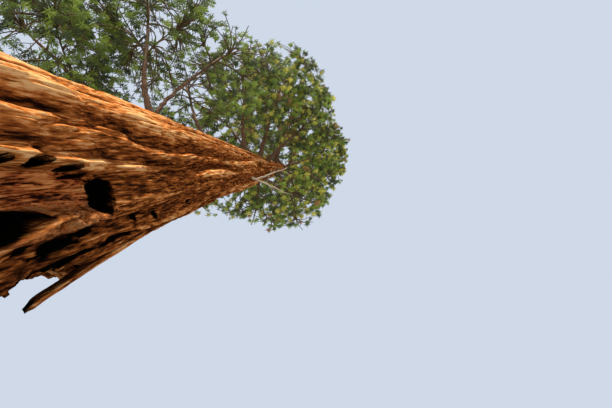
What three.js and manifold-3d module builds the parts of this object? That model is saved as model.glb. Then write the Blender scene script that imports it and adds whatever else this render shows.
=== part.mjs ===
// An old giant sequoia: a fluted, fire-scarred trunk with a flared foot, big boughs that bend up
// at their ends, and a mass of foliage on each of them. Millimetres, +Z up, and the origin is the
// centre of the flat cut at ground level. The real tree is about 76 m tall, and every size here is
// its real size times 40/76. The side with the fire scar faces -Y.
import * as THREE from "three";
import { mergeVertices } from "three/addons/utils/BufferGeometryUtils.js";
import Module from "manifold-3d";

const wasm = await Module();
wasm.setup();

// The tree as a whole
const treeHeight = 40000;
const seat = 0.3; // clear gap between two solids that meet
const goldenAngle = Math.PI * (3 - Math.sqrt(5));
const up = new THREE.Vector3(0, 0, 1);
const degree = Math.PI / 180;
const farOut = 3000; // beyond the trunk's skin

// The trunk
const trunk = {
  top: 37500,
  taperHeight: 41000, // where the taper would reach nothing
  taperRadius: 1515,
  taperPower: 1.35,
  leanX: -140, // how far the middle has moved by the crown
  leanHeight: 7000,
  flareRadius: 560, // what the foot adds at ground level
  flareHeight: 1100,
  rootSpurs: 7,
  rootSpurShare: 0.34, // of the flare
  flutes: 11,
  fluteDepth: 0.1, // of the radius, at the foot
  fluteFade: 2, // how fast the flutes get shallower upwards
  fluteTwist: 0.055, // radians a metre
  sides: 52,
  sideCrowding: 0.55, // from 0 to 1, how much the corners crowd towards the scar's side
  rings: 24,
  ringCrowding: 1.7, // above 1 the rings crowd towards the ground
  smallest: 13, // a corner that stands out less than this is left off
};

// The big folds of the bark that the photo shows: how far each stands out, half its width, and
// its line as heights and azimuths in degrees
const folds = [
  {
    stands: 60,
    half: 160,
    line: [
      [2600, -143], [4300, -142], [5400, -141], [6600, -141],
    ],
  },
  {
    stands: 60,
    half: 130,
    line: [
      [1500, -128], [3900, -126], [4800, -123.5], [6200, -124.2], [7400, -124], [9000, -119],
      [12000, -113],
    ],
  },
  {
    stands: -90,
    half: 90,
    line: [
      [1800, -121], [3800, -119.2], [4400, -118], [5100, -116.5], [5800, -116.2], [6400, -111.5],
      [7700, -109], [11000, -105],
    ],
  },
  {
    stands: 70,
    half: 120,
    line: [
      [1200, -112], [3600, -109], [4200, -108], [4600, -105.8], [5100, -109.6], [5400, -109],
      [5900, -104.8], [6800, -101.8], [8500, -102.5], [12000, -98],
    ],
  },
  {
    stands: -70,
    half: 80,
    line: [
      [2400, -106], [3600, -103.8], [3900, -102.5], [4400, -101.1], [4900, -101.2],
      [5600, -99.2], [6700, -95.8], [8400, -94.6], [11000, -93],
    ],
  },
  {
    stands: 70,
    half: 100,
    line: [
      [1600, -102], [3500, -99.6], [3900, -98.4], [4300, -97], [4700, -94.8], [5200, -93.9],
      [5900, -94.2],
    ],
  },
  {
    stands: -60,
    half: 60,
    line: [
      [4300, -93.2], [4700, -91], [5100, -89.9], [6000, -88.6], [7200, -88.4],
    ],
  },
  {
    stands: 50,
    half: 120,
    line: [
      [5200, -86.5], [5600, -86.5], [6600, -85], [8300, -86], [11400, -83],
    ],
  },
  {
    stands: 75,
    half: 55,
    line: [
      [2500, -68], [3500, -72.6], [3700, -74.6], [3850, -76.4], [4000, -77.2], [4300, -76],
      [4650, -74.2], [5150, -76.6], [6100, -78.2], [8400, -75], [14000, -70],
    ],
  },
  {
    stands: 60,
    half: 60,
    line: [
      [2500, -64], [3500, -69.4], [3850, -70.8], [4100, -72.4], [4500, -73.4], [4700, -73.4],
    ],
  },
  {
    stands: -80,
    half: 70,
    line: [
      [2200, -60], [3550, -62.6], [4000, -64.6], [4600, -63.2], [5300, -62.4], [6000, -60.5],
      [6700, -58.5], [8250, -57], [10500, -52],
    ],
  },
  {
    stands: 60,
    half: 100,
    line: [
      [2200, -56], [3600, -57.8], [4650, -59.8], [5400, -58.8], [6400, -54.2], [8100, -47.5],
    ],
  },
  {
    stands: -60,
    half: 60,
    line: [
      [3400, -46], [4200, -48.5], [4500, -51.2], [4800, -53.5], [5200, -55.4],
    ],
  },
  {
    stands: -80,
    half: 300,
    line: [
      [4600, -28], [5700, -26], [8500, -20], [14000, -18],
    ],
  },
];
const foldFade = { below: 700, above: 100 }; // over which a fold's ends die away

// The fire scar: a tall hollow, with its depths at two heights. Its outline runs from its right
// foot over its top to its left, as distances along the bark and heights
const scar = {
  azimuth: -83,
  depths: [
    [4200, 290],
    [4900, 150],
  ],
  outline: [
    [800, -200],
    [560, 1900],
    [370, 3500],
    [270, 4160],
    [200, 4750],
    [60, 5030],
    [-110, 4830],
    [-230, 4480],
    [-340, 3600],
    [-600, 1500],
    [-760, -200],
  ],
};
// The black opening burnt deep into the foot of the scar
const opening = {
  azimuth: -73,
  depths: [
    [1100, 560],
    [4350, 480],
  ],
  outline: [
    [190, 1100],
    [195, 2400],
    [70, 3700],
    [0, 4100],
    [-34, 4450],
    [-103, 4100],
    [-151, 3700],
    [-219, 2400],
    [-250, 1100],
  ],
};
// Pockets burnt into the bark: at the scar's top, under its left edge, and on its right
const burntPockets = [
  { azimuth: -80.5, height: 4820, wide: 340, tall: 520, deep: 260 },
  { azimuth: -96.8, height: 3520, wide: 70, tall: 300, deep: 160 },
  { azimuth: -96.2, height: 3930, wide: 80, tall: 340, deep: 170 },
  { azimuth: -94.2, height: 4360, wide: 80, tall: 300, deep: 150 },
  { azimuth: -54.5, height: 5330, wide: 120, tall: 500, deep: 130 },
];

// The burnt-out flank and the slab of bark that hangs over it
const flank = { azimuth: -15, height: 3900, wide: 1100, tall: 3700, deep: 330 };
const slab = {
  azimuth: -22,
  topHeight: 6900,
  tipHeight: 4560,
  topWidth: 520,
  tipWidth: 90,
  thickness: 100,
  sunk: 130, // its top, behind the line of the bark
  standOut: 40, // its tip, clear of that line
};

// The limbs
const limb = {
  sides: 6,
  steps: 3,
  rootShare: 0.0185, // of the reach, and rootMore added
  rootMore: 34,
  tipShare: 0.42, // of the root's radius
};
const crown = {
  boughs: 22,
  base: 17500,
  topBough: 35700,
  firstAzimuth: 178 * degree,
  shiftX: -1500, // the crown is wider towards -X
  halfWidthX: 5000,
  halfWidthY: 4850,
  lowShare: 0.84, // reach at the base of the crown
  roundness: 2.4,
};
// Boughs that the photo shows one by one. Each aims at the middle of its mass of foliage.
const seenBoughs = [
  {
    name: "side_bough",
    height: 19900,
    azimuth: 194,
    aim: [-4350, -1150, 21900],
    reach: 6500,
    dense: true,
  },
  { name: "low_bough_a", height: 10300, azimuth: 150, aim: [-4300, 1500, 12600], reach: 6200 },
  { name: "low_bough_b", height: 10500, azimuth: 128, aim: [-3500, 3900, 11700], reach: 6800 },
  { name: "low_bough_c", height: 13200, azimuth: 158, aim: [-2900, 1350, 15100], reach: 4300 },
  { name: "low_bough_d", height: 13900, azimuth: 84, aim: [350, 3050, 15600], reach: 4500 },
];
const lowFork = {
  name: "low_bough_a_fork",
  from: "low_bough_a",
  leaves: 0.42, // share of the way along the bough that carries it
  aim: [-3500, -50, 13700],
  reach: 3200,
};
const leaderReach = 4200; // of the trunk's own tip
const deadLimb = {
  height: 15150,
  azimuth: -66,
  rootRadius: 50,
  forkRadius: 34,
  tipRadius: 12,
  fork: [265, -885, 15230],
  tips: [
    [-97, -1895, 15850],
    [800, -1840, 15500],
  ],
};

// The masses of foliage
const mass = {
  along: 0.38, // half length, as a share of the bough's reach
  across: 0.33,
  acrossMore: 900,
  tall: 0.27,
  tallMore: 850,
  lookIn: 0.9, // share of the half length from the middle to where the bough ends
  stemPast: 0.42, // the stem runs this share of the half length past the middle
  twigs: 7, // of a dense mass
  openTwigs: 5, // of a mass without a core
  twigEnd: 0.5, // share of the way from the middle to the skin
  twigRoot: 34,
  twigTip: 24,
  lift: 0.3, // how much the sprays turn up
  smallest: 6, // a corner that stands out less than this is left off
  keepOff: 15, // from the next mass
  limbGap: 60,
};
const core = {
  shares: [0.56, 0.46, 0.34], // of the space's half sizes
  sides: 6,
  steps: 3,
  uneven: 0.45,
  wallShare: 0.62,
  limbGap: 150,
};
const spray = {
  length: 1700, // at most
  lengthShare: 0.2, // of the reach, and lengthMore added
  lengthMore: 600,
  widthShare: 0.64, // of the length
  thickness: 46,
  stalk: 170,
  least: 0.36, // a shorter one than this share is left out
  sideShoots: 2, // how many of a dense mass's twigs carry a second spray
};

// A repeatable number from 0 to 1 for each set of keys.
function chance(a, b = 0, c = 0) {
  const wave = Math.sin(a * 12.9898 + b * 78.233 + c * 37.719 + 4.1) * 43758.5453;
  return wave - Math.floor(wave);
}

// A point round the trunk's middle, which leans a little.
function polar(azimuth, radius, height) {
  const lean = trunk.leanX * (1 - Math.exp(-((height / trunk.leanHeight) ** 2)));
  return new THREE.Vector3(radius * Math.cos(azimuth) + lean, radius * Math.sin(azimuth), height);
}

// The level direction to the left of a heading.
function levelSide(heading) {
  const side = new THREE.Vector3().crossVectors(up, heading);
  return side.length() < 0.05 ? side.set(0, 1, 0) : side.normalize();
}

function solidOf(geometry) {
  const bare = new THREE.BufferGeometry();
  bare.setAttribute("position", geometry.getAttribute("position"));
  if (geometry.index) bare.setIndex(geometry.index);
  const merged = mergeVertices(bare, 0.01);
  return new wasm.Manifold(
    new wasm.Mesh({
      numProp: 3,
      vertProperties: Float32Array.from(merged.getAttribute("position").array),
      triVerts: Uint32Array.from(merged.index.array),
    }),
  );
}

function biggestPiece(solid) {
  return solid.decompose().sort((one, other) => other.volume() - one.volume())[0];
}

function geometryOf(solid) {
  const made = solid.getMesh();
  const geometry = new THREE.BufferGeometry();
  geometry.setAttribute("position", new THREE.BufferAttribute(made.vertProperties, 3));
  geometry.setIndex(new THREE.BufferAttribute(made.triVerts, 1));
  geometry.computeVertexNormals();
  return geometry;
}

// A closed tube whose every point is placed by place(azimuth, along): along runs from 0 to 1, and
// the middle of each end cap is asked for with azimuth null.
function tube(sides, steps, place) {
  const geometry = new THREE.CylinderGeometry(1, 1, 1, sides, steps);
  geometry.rotateX(Math.PI / 2);
  const position = geometry.getAttribute("position");
  for (let i = 0; i < position.count; i++) {
    const x = position.getX(i);
    const y = position.getY(i);
    const azimuth = Math.hypot(x, y) < 0.5 ? null : Math.atan2(y, x);
    const point = place(azimuth, position.getZ(i) + 0.5);
    position.setXYZ(i, point.x, point.y, point.z);
  }
  return geometry;
}

// The trunk's skin

function trunkRadius(height) {
  const taper = Math.pow(Math.max(0, 1 - height / trunk.taperHeight), trunk.taperPower);
  return trunk.taperRadius * taper;
}

// Rounded ridges with sharp grooves between them, from -1 in a groove to 0.57 on a ridge.
function ridges(count, azimuth) {
  return 1.57 * Math.abs(Math.cos((count * azimuth) / 2)) - 1;
}

function skinRadius(azimuth, height) {
  const flare = trunk.flareRadius * Math.exp(-height / trunk.flareHeight);
  const spurs = 1 + trunk.rootSpurShare * Math.cos(trunk.rootSpurs * azimuth + 0.8);
  const depth = trunk.fluteDepth * Math.pow(1 - height / trunk.top, trunk.fluteFade);
  const turned = azimuth + (trunk.fluteTwist * height) / 1000 + 0.12 * Math.sin(height / 2600);
  const bend = 0.22 * Math.sin(2 * azimuth + height / 5200);
  const relief = 0.7 * ridges(trunk.flutes, turned + bend) + 0.3 * Math.cos(3 * azimuth + 1);
  return trunkRadius(height) * (1 + depth * relief) + flare * spurs;
}

function smoothStep(low, high, value) {
  return THREE.MathUtils.smoothstep(value, low, high);
}

function lineAt(line, height) {
  const after = line.findIndex(([level]) => level > height);
  if (after === 0) return line[0][1];
  if (after < 0) return line[line.length - 1][1];
  const [[low, start], [high, end]] = [line[after - 1], line[after]];
  return start + ((end - start) * (height - low)) / (high - low);
}

// How far the folds push the bark out at a point.
function foldAt(azimuth, height) {
  return folds.reduce((sum, fold) => {
    const { below, above } = foldFade;
    const turn = azimuth - lineAt(fold.line, height) * degree;
    const across = Math.atan2(Math.sin(turn), Math.cos(turn)) * trunkRadius(height);
    const overFoot = height - fold.line[0][0];
    const underTop = fold.line[fold.line.length - 1][0] - height;
    const fade = smoothStep(-below, above, overFoot) * smoothStep(-below, above, underTop);
    return sum + fold.stands * fade * Math.exp(-((across / fold.half) ** 2));
  }, 0);
}

function trunkSkin() {
  const front = scar.azimuth * degree;
  const skin = tube(trunk.sides, trunk.rings, (turn, along) => {
    const height = trunk.top * Math.pow(along, trunk.ringCrowding);
    if (turn === null) return polar(0, 0, height);
    const azimuth = front + turn - trunk.sideCrowding * Math.sin(turn);
    return polar(azimuth, skinRadius(azimuth, height) + foldAt(azimuth, height), height);
  });
  return solidOf(skin).simplify(trunk.smallest);
}

// The same solid, a little wider all round.
function swollen(solid, more) {
  const geometry = geometryOf(solid);
  const position = geometry.getAttribute("position");
  for (let i = 0; i < position.count; i++) {
    const height = position.getZ(i);
    const middle = polar(0, 0, height);
    const out = new THREE.Vector3(position.getX(i) - middle.x, position.getY(i), 0);
    const radius = Math.max(1, out.length());
    out.multiplyScalar((radius + more) / radius);
    position.setXY(i, middle.x + out.x, out.y);
  }
  return solidOf(geometry);
}

// A flattened ball sunk in the trunk's skin, to burn out a hollow.
function hollow(spec) {
  const azimuth = spec.azimuth * degree;
  const ball = new THREE.SphereGeometry(0.5, 10, 7);
  ball.scale(2 * spec.deep, spec.wide, spec.tall);
  ball.rotateZ(azimuth);
  const at = polar(azimuth, skinRadius(azimuth, spec.height), spec.height);
  ball.translate(at.x, at.y, at.z);
  return solidOf(ball);
}

// A cutter that stands upright in the trunk, and whose back follows the trunk's taper.
function uprightCutter(spec) {
  const azimuth = spec.azimuth * degree;
  const outline = spec.outline.map(([along, height]) => new THREE.Vector2(along, height));
  const shape = new THREE.Shape(outline);
  const cutter = new THREE.ExtrudeGeometry(shape, { depth: 1, bevelEnabled: false });
  const position = cutter.getAttribute("position");
  for (let i = 0; i < position.count; i++) {
    const height = Math.max(0, position.getY(i));
    const flare = 0.3 * trunk.flareRadius * Math.exp(-height / trunk.flareHeight);
    const back = trunkRadius(height) + flare - lineAt(spec.depths, height);
    const point = polar(azimuth, position.getZ(i) > 0.5 ? farOut : back, height);
    const along = position.getX(i);
    point.x -= Math.sin(azimuth) * along;
    point.y += Math.cos(azimuth) * along;
    position.setXYZ(i, point.x, point.y, position.getY(i));
  }
  return solidOf(cutter);
}

function barkSlab() {
  const azimuth = slab.azimuth * degree;
  const across = new THREE.Vector3(-Math.sin(azimuth), Math.cos(azimuth), 0);
  return tube(4, 4, (turn, along) => {
    const height = slab.tipHeight + (slab.topHeight - slab.tipHeight) * along;
    const width = slab.tipWidth + (slab.topWidth - slab.tipWidth) * along;
    const stands = slab.standOut - (slab.standOut + slab.sunk) * Math.pow(along, 0.8);
    const middle = trunkRadius(height) + stands;
    const corner = turn === null ? 0 : turn + Math.PI / 4;
    const size = turn === null ? 0 : Math.SQRT1_2;
    const out = size * Math.cos(corner) * slab.thickness;
    const aside = size * Math.sin(corner) * width;
    return polar(azimuth, middle + out, height).addScaledVector(across, aside);
  });
}

function trunkSolid(plain) {
  let body = plain.subtract(uprightCutter(scar)).subtract(hollow(flank));
  body = body.subtract(uprightCutter(opening));
  body = body.add(solidOf(barkSlab()));
  for (const pocket of burntPockets) body = body.subtract(hollow(pocket));
  return body;
}

// Limbs

// A tapering limb round a curve, with its two ends cut square to it.
function limbTube(curve, rootRadius, tipRadius, sides, steps, more = 0) {
  const frames = curve.computeFrenetFrames(steps);
  return tube(sides, steps, (azimuth, along) => {
    const step = Math.round(along * steps);
    const point = curve.getPointAt(along);
    if (azimuth === null) return point;
    const radius = rootRadius + (tipRadius - rootRadius) * Math.pow(along, 0.8) + more;
    return point
      .addScaledVector(frames.normals[step], radius * Math.cos(azimuth))
      .addScaledVector(frames.binormals[step], radius * Math.sin(azimuth));
  });
}

// How far the crown reaches from the trunk's middle, towards azimuth, at a height.
function crownReach(azimuth, height) {
  const c = Math.cos(azimuth) / crown.halfWidthX;
  const s = Math.sin(azimuth) / crown.halfWidthY;
  const shift = crown.shiftX / crown.halfWidthX;
  const a = c * c + s * s;
  const b = -c * shift;
  const edge = (-b + Math.sqrt(b * b - a * (shift * shift - 1))) / a;
  const rise = (height - crown.base) / (treeHeight - crown.base);
  const low = 1 - (1 - crown.lowShare) * Math.exp(-7 * rise);
  return edge * low * Math.sqrt(1 - Math.pow(rise, crown.roundness));
}

// Every bough as {name, root, elbow, tip, heading, reach, rootRadius, tipRadius, centre}.
function boughFrom(name, root, elbow, aim, reach) {
  const heading = aim.clone().sub(elbow).normalize();
  const half = mass.along * reach;
  const tip = aim.clone().addScaledVector(heading, -mass.lookIn * half);
  const rootRadius = limb.rootMore + limb.rootShare * reach;
  const tipRadius = rootRadius * limb.tipShare;
  const stemShows = true;
  return { name, root, elbow, tip, heading, reach, rootRadius, tipRadius, centre: aim, stemShows };
}

function crownBoughs() {
  return Array.from({ length: crown.boughs }, (_, i) => {
    const share = i / (crown.boughs - 1);
    const height = crown.base + (crown.topBough - crown.base) * Math.pow(share, 0.96);
    const azimuth = crown.firstAzimuth + i * goldenAngle + 0.3 * (chance(i, 1) - 0.5);
    const reach = crownReach(azimuth, height + 1200) * (0.92 + 0.16 * chance(i, 2));
    const skin = trunkRadius(height);
    const lift = reach * (0.2 + 0.12 * chance(i, 3));
    const root = polar(azimuth, skin * 0.4, height);
    const elbow = polar(azimuth, skin + (reach - skin) * 0.2, height + reach * 0.02);
    const aim = polar(azimuth, reach * (1 - mass.along * 0.93), height + lift);
    const bough = boughFrom("bough_" + String(i + 1).padStart(2, "0"), root, elbow, aim, reach);
    return { ...bough, dense: true, stemShows: false };
  });
}

function singleBoughs() {
  return seenBoughs.map((spec) => {
    const azimuth = spec.azimuth * degree;
    const skin = trunkRadius(spec.height);
    const root = polar(azimuth, skin * 0.4, spec.height);
    const elbow = polar(azimuth, skin + spec.reach * 0.13, spec.height + 250);
    const aim = new THREE.Vector3(...spec.aim);
    const bough = boughFrom(spec.name, root, elbow, aim, spec.reach);
    return spec.dense ? { ...bough, dense: true, stemShows: false } : bough;
  });
}

function curveOf(bough) {
  return new THREE.QuadraticBezierCurve3(bough.root, bough.elbow, bough.tip);
}

function forkBough(carrier) {
  const curve = curveOf(carrier);
  const root = curve.getPointAt(lowFork.leaves);
  const along = curve.getTangentAt(lowFork.leaves);
  const aim = new THREE.Vector3(...lowFork.aim);
  const away = aim.clone().sub(root).normalize();
  const elbow = root.clone().addScaledVector(along, 250).addScaledVector(away, 420);
  const fork = boughFrom(lowFork.name, root, elbow, aim, lowFork.reach);
  fork.rootRadius *= 0.8;
  return fork;
}

function boughTube(bough, more = 0) {
  const { rootRadius, tipRadius } = bough;
  return limbTube(curveOf(bough), rootRadius, tipRadius, limb.sides, limb.steps, more);
}

function deadLimbSolid() {
  const azimuth = deadLimb.azimuth * degree;
  const root = polar(azimuth, trunkRadius(deadLimb.height) * 0.7, deadLimb.height);
  const fork = new THREE.Vector3(...deadLimb.fork);
  const { rootRadius, forkRadius, tipRadius } = deadLimb;
  const stalk = solidOf(limbTube(new THREE.LineCurve3(root, fork), rootRadius, forkRadius, 5, 1));
  return deadLimb.tips.reduce((whole, tip, i) => {
    const end = new THREE.Vector3(...tip);
    const start = fork.clone().lerp(root, 0.12);
    const bend = start.clone().lerp(end, 0.5).addScaledVector(up, 130 * i - 110);
    const curve = new THREE.QuadraticBezierCurve3(start, bend, end);
    return whole.add(solidOf(limbTube(curve, forkRadius * 0.85, tipRadius, 4, 3)));
  }, stalk);
}

// The space of a mass: an egg round its middle, cut off where it meets the next mass

function spaceOf(bough) {
  const ahead = bough.heading.clone();
  const side = levelSide(ahead);
  const over = new THREE.Vector3().crossVectors(ahead, side);
  const reach = bough.reach;
  const half = [
    mass.along * reach,
    mass.across * reach + mass.acrossMore,
    mass.tall * reach + mass.tallMore,
  ];
  const longest = Math.min(spray.length, spray.lengthShare * reach + spray.lengthMore);
  return { centre: bough.centre, axes: [ahead, side, over], half, longest, walls: [] };
}

function extentTowards(space, direction) {
  const sum = space.axes.reduce((all, axis, i) => {
    const part = direction.dot(axis) * space.half[i];
    return all + part * part;
  }, 0);
  return Math.sqrt(sum);
}

function raiseWalls(spaces) {
  spaces.forEach((one, i) => {
    for (const other of spaces.slice(i + 1)) {
      const between = other.centre.clone().sub(one.centre);
      const distance = between.length();
      const direction = between.divideScalar(distance);
      const own = extentTowards(one, direction);
      const theirs = extentTowards(other, direction);
      if (own + theirs < distance) continue;
      const wall = one.centre.clone().addScaledVector(direction, (distance * own) / (own + theirs));
      one.walls.push({ point: wall, outward: direction.clone() });
      other.walls.push({ point: wall, outward: direction.clone().negate() });
    }
  });
}

function inSpace(space, point) {
  const offset = point.clone().sub(space.centre);
  const egg = space.axes.reduce((all, axis, i) => all + (offset.dot(axis) / space.half[i]) ** 2, 0);
  if (egg > 1.0001) return false;
  return space.walls.every(
    (wall) => point.clone().sub(wall.point).dot(wall.outward) < -mass.keepOff,
  );
}

// The way from a point inside to the egg's skin or the nearest wall.
function wayOut(space, from, direction) {
  const offset = from.clone().sub(space.centre);
  let a = 0;
  let b = 0;
  let c = -1;
  space.axes.forEach((axis, i) => {
    const d = direction.dot(axis) / space.half[i];
    const o = offset.dot(axis) / space.half[i];
    a += d * d;
    b += d * o;
    c += o * o;
  });
  let way = (-b + Math.sqrt(Math.max(0, b * b - a * c))) / a;
  for (const wall of space.walls) {
    const speed = direction.dot(wall.outward);
    if (speed <= 0) continue;
    const room = -mass.keepOff - from.clone().sub(wall.point).dot(wall.outward);
    way = Math.min(way, room / speed);
  }
  return way;
}

// Keeping off the limbs: each is a chain of short straight bones with a radius

const trunkChainLook = { count: 20, from: crown.base / 2, wider: 1.06 };

function bonesOf(curve, rootRadius, tipRadius) {
  const points = curve.getSpacedPoints(6);
  return points.slice(1).map((end, i) => ({
    start: points[i],
    end,
    radius: rootRadius + (tipRadius - rootRadius) * (i / 6),
  }));
}

function trunkBones() {
  const { count, from, wider } = trunkChainLook;
  const step = (trunk.top - from) / count;
  return Array.from({ length: count }, (_, i) => {
    const low = from + step * i;
    return {
      start: new THREE.Vector3(0, 0, low),
      end: new THREE.Vector3(0, 0, low + step),
      radius: trunkRadius(low) * wider,
    };
  });
}

const nearest = new THREE.Vector3();
const line = new THREE.Line3();

function clearOf(bones, point, more) {
  return bones.every((bone) => {
    line.set(bone.start, bone.end).closestPointToPoint(point, true, nearest);
    return nearest.distanceTo(point) > bone.radius + more;
  });
}

// Foliage: every shoot is a three-sided twig that spreads into a toothed blade, a spray of needles

// The blade's outline from its right shoulder to its left, as shares of its length and half width.
const sprayOutline = [
  [0.72, 1],
  [0.6, 0.4],
  [1, 0],
  [0.6, -0.4],
  [0.72, -1],
];
const sprayMiddle = 0.42;

function sprayFrame(direction, roll) {
  const side = levelSide(direction).negate().applyAxisAngle(direction, roll);
  const face = new THREE.Vector3().crossVectors(side, direction);
  return { side, face };
}

function outlinePoints(root, direction, roll, length) {
  const { side } = sprayFrame(direction, roll);
  const halfWidth = (spray.widthShare * length) / 2;
  return sprayOutline.map(([ahead, out]) =>
    root.clone().addScaledVector(direction, ahead * length).addScaledVector(side, out * halfWidth),
  );
}

// The corners of a three-sided twig: lower right, lower left and top.
function twigCorners(middle, side, face, radius) {
  return [-30, 210, 90].map((turn) =>
    middle
      .clone()
      .addScaledVector(side, radius * Math.cos(turn * degree))
      .addScaledVector(face, radius * Math.sin(turn * degree)),
  );
}

// A twig from one point to another, and the blade it ends in.
function shoot({ from, to, rootRadius, direction, roll, length }) {
  const { side, face } = sprayFrame(direction, roll);
  const along = to.clone().sub(from).normalize();
  const rootSide = side.clone().addScaledVector(along, -side.dot(along)).normalize();
  const rootFace = new THREE.Vector3().crossVectors(rootSide, along);
  const lift = (point) => point.addScaledVector(face, -mass.twigTip / 2);
  const points = [
    ...twigCorners(from, rootSide, rootFace, rootRadius),
    ...twigCorners(to, side, face, mass.twigTip),
    ...outlinePoints(to, direction, roll, length).map(lift),
    to
      .clone()
      .addScaledVector(direction, sprayMiddle * length)
      .addScaledVector(face, spray.thickness - mass.twigTip / 2),
  ];
  const geometry = new THREE.BufferGeometry().setFromPoints(points);
  geometry.setIndex(shootFaces);
  return geometry;
}

// Corners 0 to 2 are the twig's root, 3 to 5 its end, 6 to 10 the outline, and 11 the ridge.
const shootFaces = [
  [0, 2, 1],
  [0, 1, 3],
  [1, 4, 3],
  [1, 2, 4],
  [2, 5, 4],
  [2, 0, 5],
  [0, 3, 5],
  [3, 7, 6],
  [3, 8, 7],
  [3, 4, 8],
  [4, 9, 8],
  [4, 10, 9],
  [11, 3, 6],
  [11, 6, 7],
  [11, 7, 8],
  [11, 8, 9],
  [11, 9, 10],
  [11, 10, 4],
  [11, 4, 5],
  [11, 5, 3],
].flat();

// Points all over a unit ball, evenly spread.
function ballPoint(i, count) {
  const z = 1 - (2 * i + 1) / count;
  const ring = Math.sqrt(1 - z * z);
  return [ring * Math.cos(i * goldenAngle), ring * Math.sin(i * goldenAngle), z];
}

function pointIn(space, shares) {
  return space.axes.reduce(
    (point, axis, i) => point.addScaledVector(axis, shares[i] * space.half[i]),
    space.centre.clone(),
  );
}

// How long a blade may be from a point along a direction, or 0 where there is no room for one.
function roomFor(space, bones, root, direction, roll) {
  let length = Math.min(space.longest, wayOut(space, root, direction));
  for (let go = 0; go < 4; go++) {
    if (length < spray.least * space.longest) return 0;
    const points = outlinePoints(root, direction, roll, length);
    if (points.every((point) => inSpace(space, point))) {
      const middle = root.clone().addScaledVector(direction, sprayMiddle * length);
      const samples = points.flatMap((point) => [
        point,
        point.clone().lerp(middle, 0.5),
        point.clone().lerp(root, 0.4),
      ]);
      samples.push(middle);
      return samples.every((point) => clearOf(bones, point, mass.limbGap)) ? length : 0;
    }
    length *= 0.86;
  }
  return 0;
}

// The dense middle of a mass, an uneven ball that keeps well inside the space.
function coreSolid(index, space, bones) {
  return solidOf(
    tube(core.sides, core.steps, (azimuth, along) => {
      const tilt = Math.PI * (azimuth === null ? along : 0.12 + 0.76 * along);
      const turn = azimuth ?? 0;
      const ring = Math.sin(tilt);
      const ball = [-Math.cos(tilt), ring * Math.cos(turn), ring * Math.sin(turn)];
      const corner = pointIn(space, ball.map((share, i) => share * core.shares[i]));
      const direction = corner.sub(space.centre);
      const full = direction.length();
      direction.divideScalar(full);
      const draw = chance(index, Math.round(10 * turn), Math.round(9 * along));
      const jitter = 1 + core.uneven * (draw - 0.5);
      let far = Math.min(full * jitter, core.wallShare * wayOut(space, space.centre, direction));
      const point = () => space.centre.clone().addScaledVector(direction, far);
      while (far > 50 && !clearOf(bones, point(), core.limbGap)) far *= 0.85;
      return point();
    }),
  );
}

function massSolid(index, bough, space, bones) {
  const { heading } = bough;
  const start = bough.tip.clone().addScaledVector(heading, seat);
  const past = bough.stemShows ? mass.stemPast : 0;
  const stemEnd = bough.centre.clone().addScaledVector(heading, past * space.half[0]);
  const shoots = [];
  const parts = [];
  if (bough.dense) parts.push(coreSolid(index, space, bones));
  if (bough.stemShows) {
    const length = roomFor(space, bones, stemEnd, heading, index);
    const stem = { from: start, to: stemEnd, rootRadius: bough.tipRadius };
    shoots.push({ ...stem, direction: heading, roll: index, length });
  } else {
    const stem = new THREE.LineCurve3(start, stemEnd);
    parts.push(solidOf(limbTube(stem, bough.tipRadius, mass.twigRoot, 3, 1)));
  }
  const turn = 2 * Math.PI * chance(index, 7);
  const twigs = bough.dense ? mass.twigs : mass.openTwigs;
  for (let k = 0; k < twigs; k++) {
    const [lean, right, over] = ballPoint(k, twigs);
    const towards = pointIn(space, [
      lean,
      right * Math.cos(turn) - over * Math.sin(turn),
      right * Math.sin(turn) + over * Math.cos(turn),
    ]);
    towards.sub(space.centre).normalize();
    const far = mass.twigEnd * wayOut(space, space.centre, towards);
    const end = space.centre.clone().addScaledVector(towards, far);
    const root = start.clone().lerp(stemEnd, 0.12 + 0.38 * (lean + 1));
    const probes = [0.35, 0.55, 0.75, 1].map((share) => root.clone().lerp(end, share));
    if (!probes.every((point) => clearOf(bones, point, mass.limbGap))) continue;

    const ahead = end.clone().sub(root).normalize();
    const outward = end.clone().sub(space.centre).normalize();
    const leaning = outward.add(ahead).addScaledVector(up, mass.lift).normalize();
    const sprays = bough.dense && k >= spray.sideShoots ? 1 : 2;
    for (let s = 0; s < sprays; s++) {
      const spin = goldenAngle * (3 * k + s) + Math.PI * s + chance(index, k);
      const { side, face } = sprayFrame(leaning, spin);
      const spread = s === 0 ? 0.25 : 0.95;
      const direction = leaning.clone().addScaledVector(side, spread).normalize();
      const from = s === 0 ? root : root.clone().lerp(end, 0.93 - 0.2 * s);
      const to = s === 0 ? end : from.clone().addScaledVector(direction, spray.stalk);
      const roll = spin * 1.7;
      const length = roomFor(space, bones, to, direction, roll);
      if (length > 0) shoots.push({ from, to, rootRadius: mass.twigRoot, direction, roll, length });
    }
  }
  for (const spec of shoots) parts.push(solidOf(shoot(spec)));
  return biggestPiece(parts.reduce((all, part) => all.add(part))).simplify(mass.smallest);
}

// Materials

const bark = new THREE.MeshStandardMaterial({ color: 0xa8552c, roughness: 0.92, metalness: 0 });
const limbBark = new THREE.MeshStandardMaterial({ color: 0x7a4a30, roughness: 0.9, metalness: 0 });
const deadWood = new THREE.MeshStandardMaterial({ color: 0xa89580, roughness: 0.85, metalness: 0 });
const leafGreen = new THREE.MeshStandardMaterial({ color: 0x4c6a26, roughness: 0.7, metalness: 0 });

// The tree

const tree = new THREE.Group();

function place(name, solid, material) {
  const mesh = new THREE.Mesh(geometryOf(solid), material.clone());
  mesh.name = name;
  tree.add(mesh);
}

const single = singleBoughs();
const forked = single.find((bough) => bough.name === lowFork.from);
const boughs = [...single, forkBough(forked), ...crownBoughs()];

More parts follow.
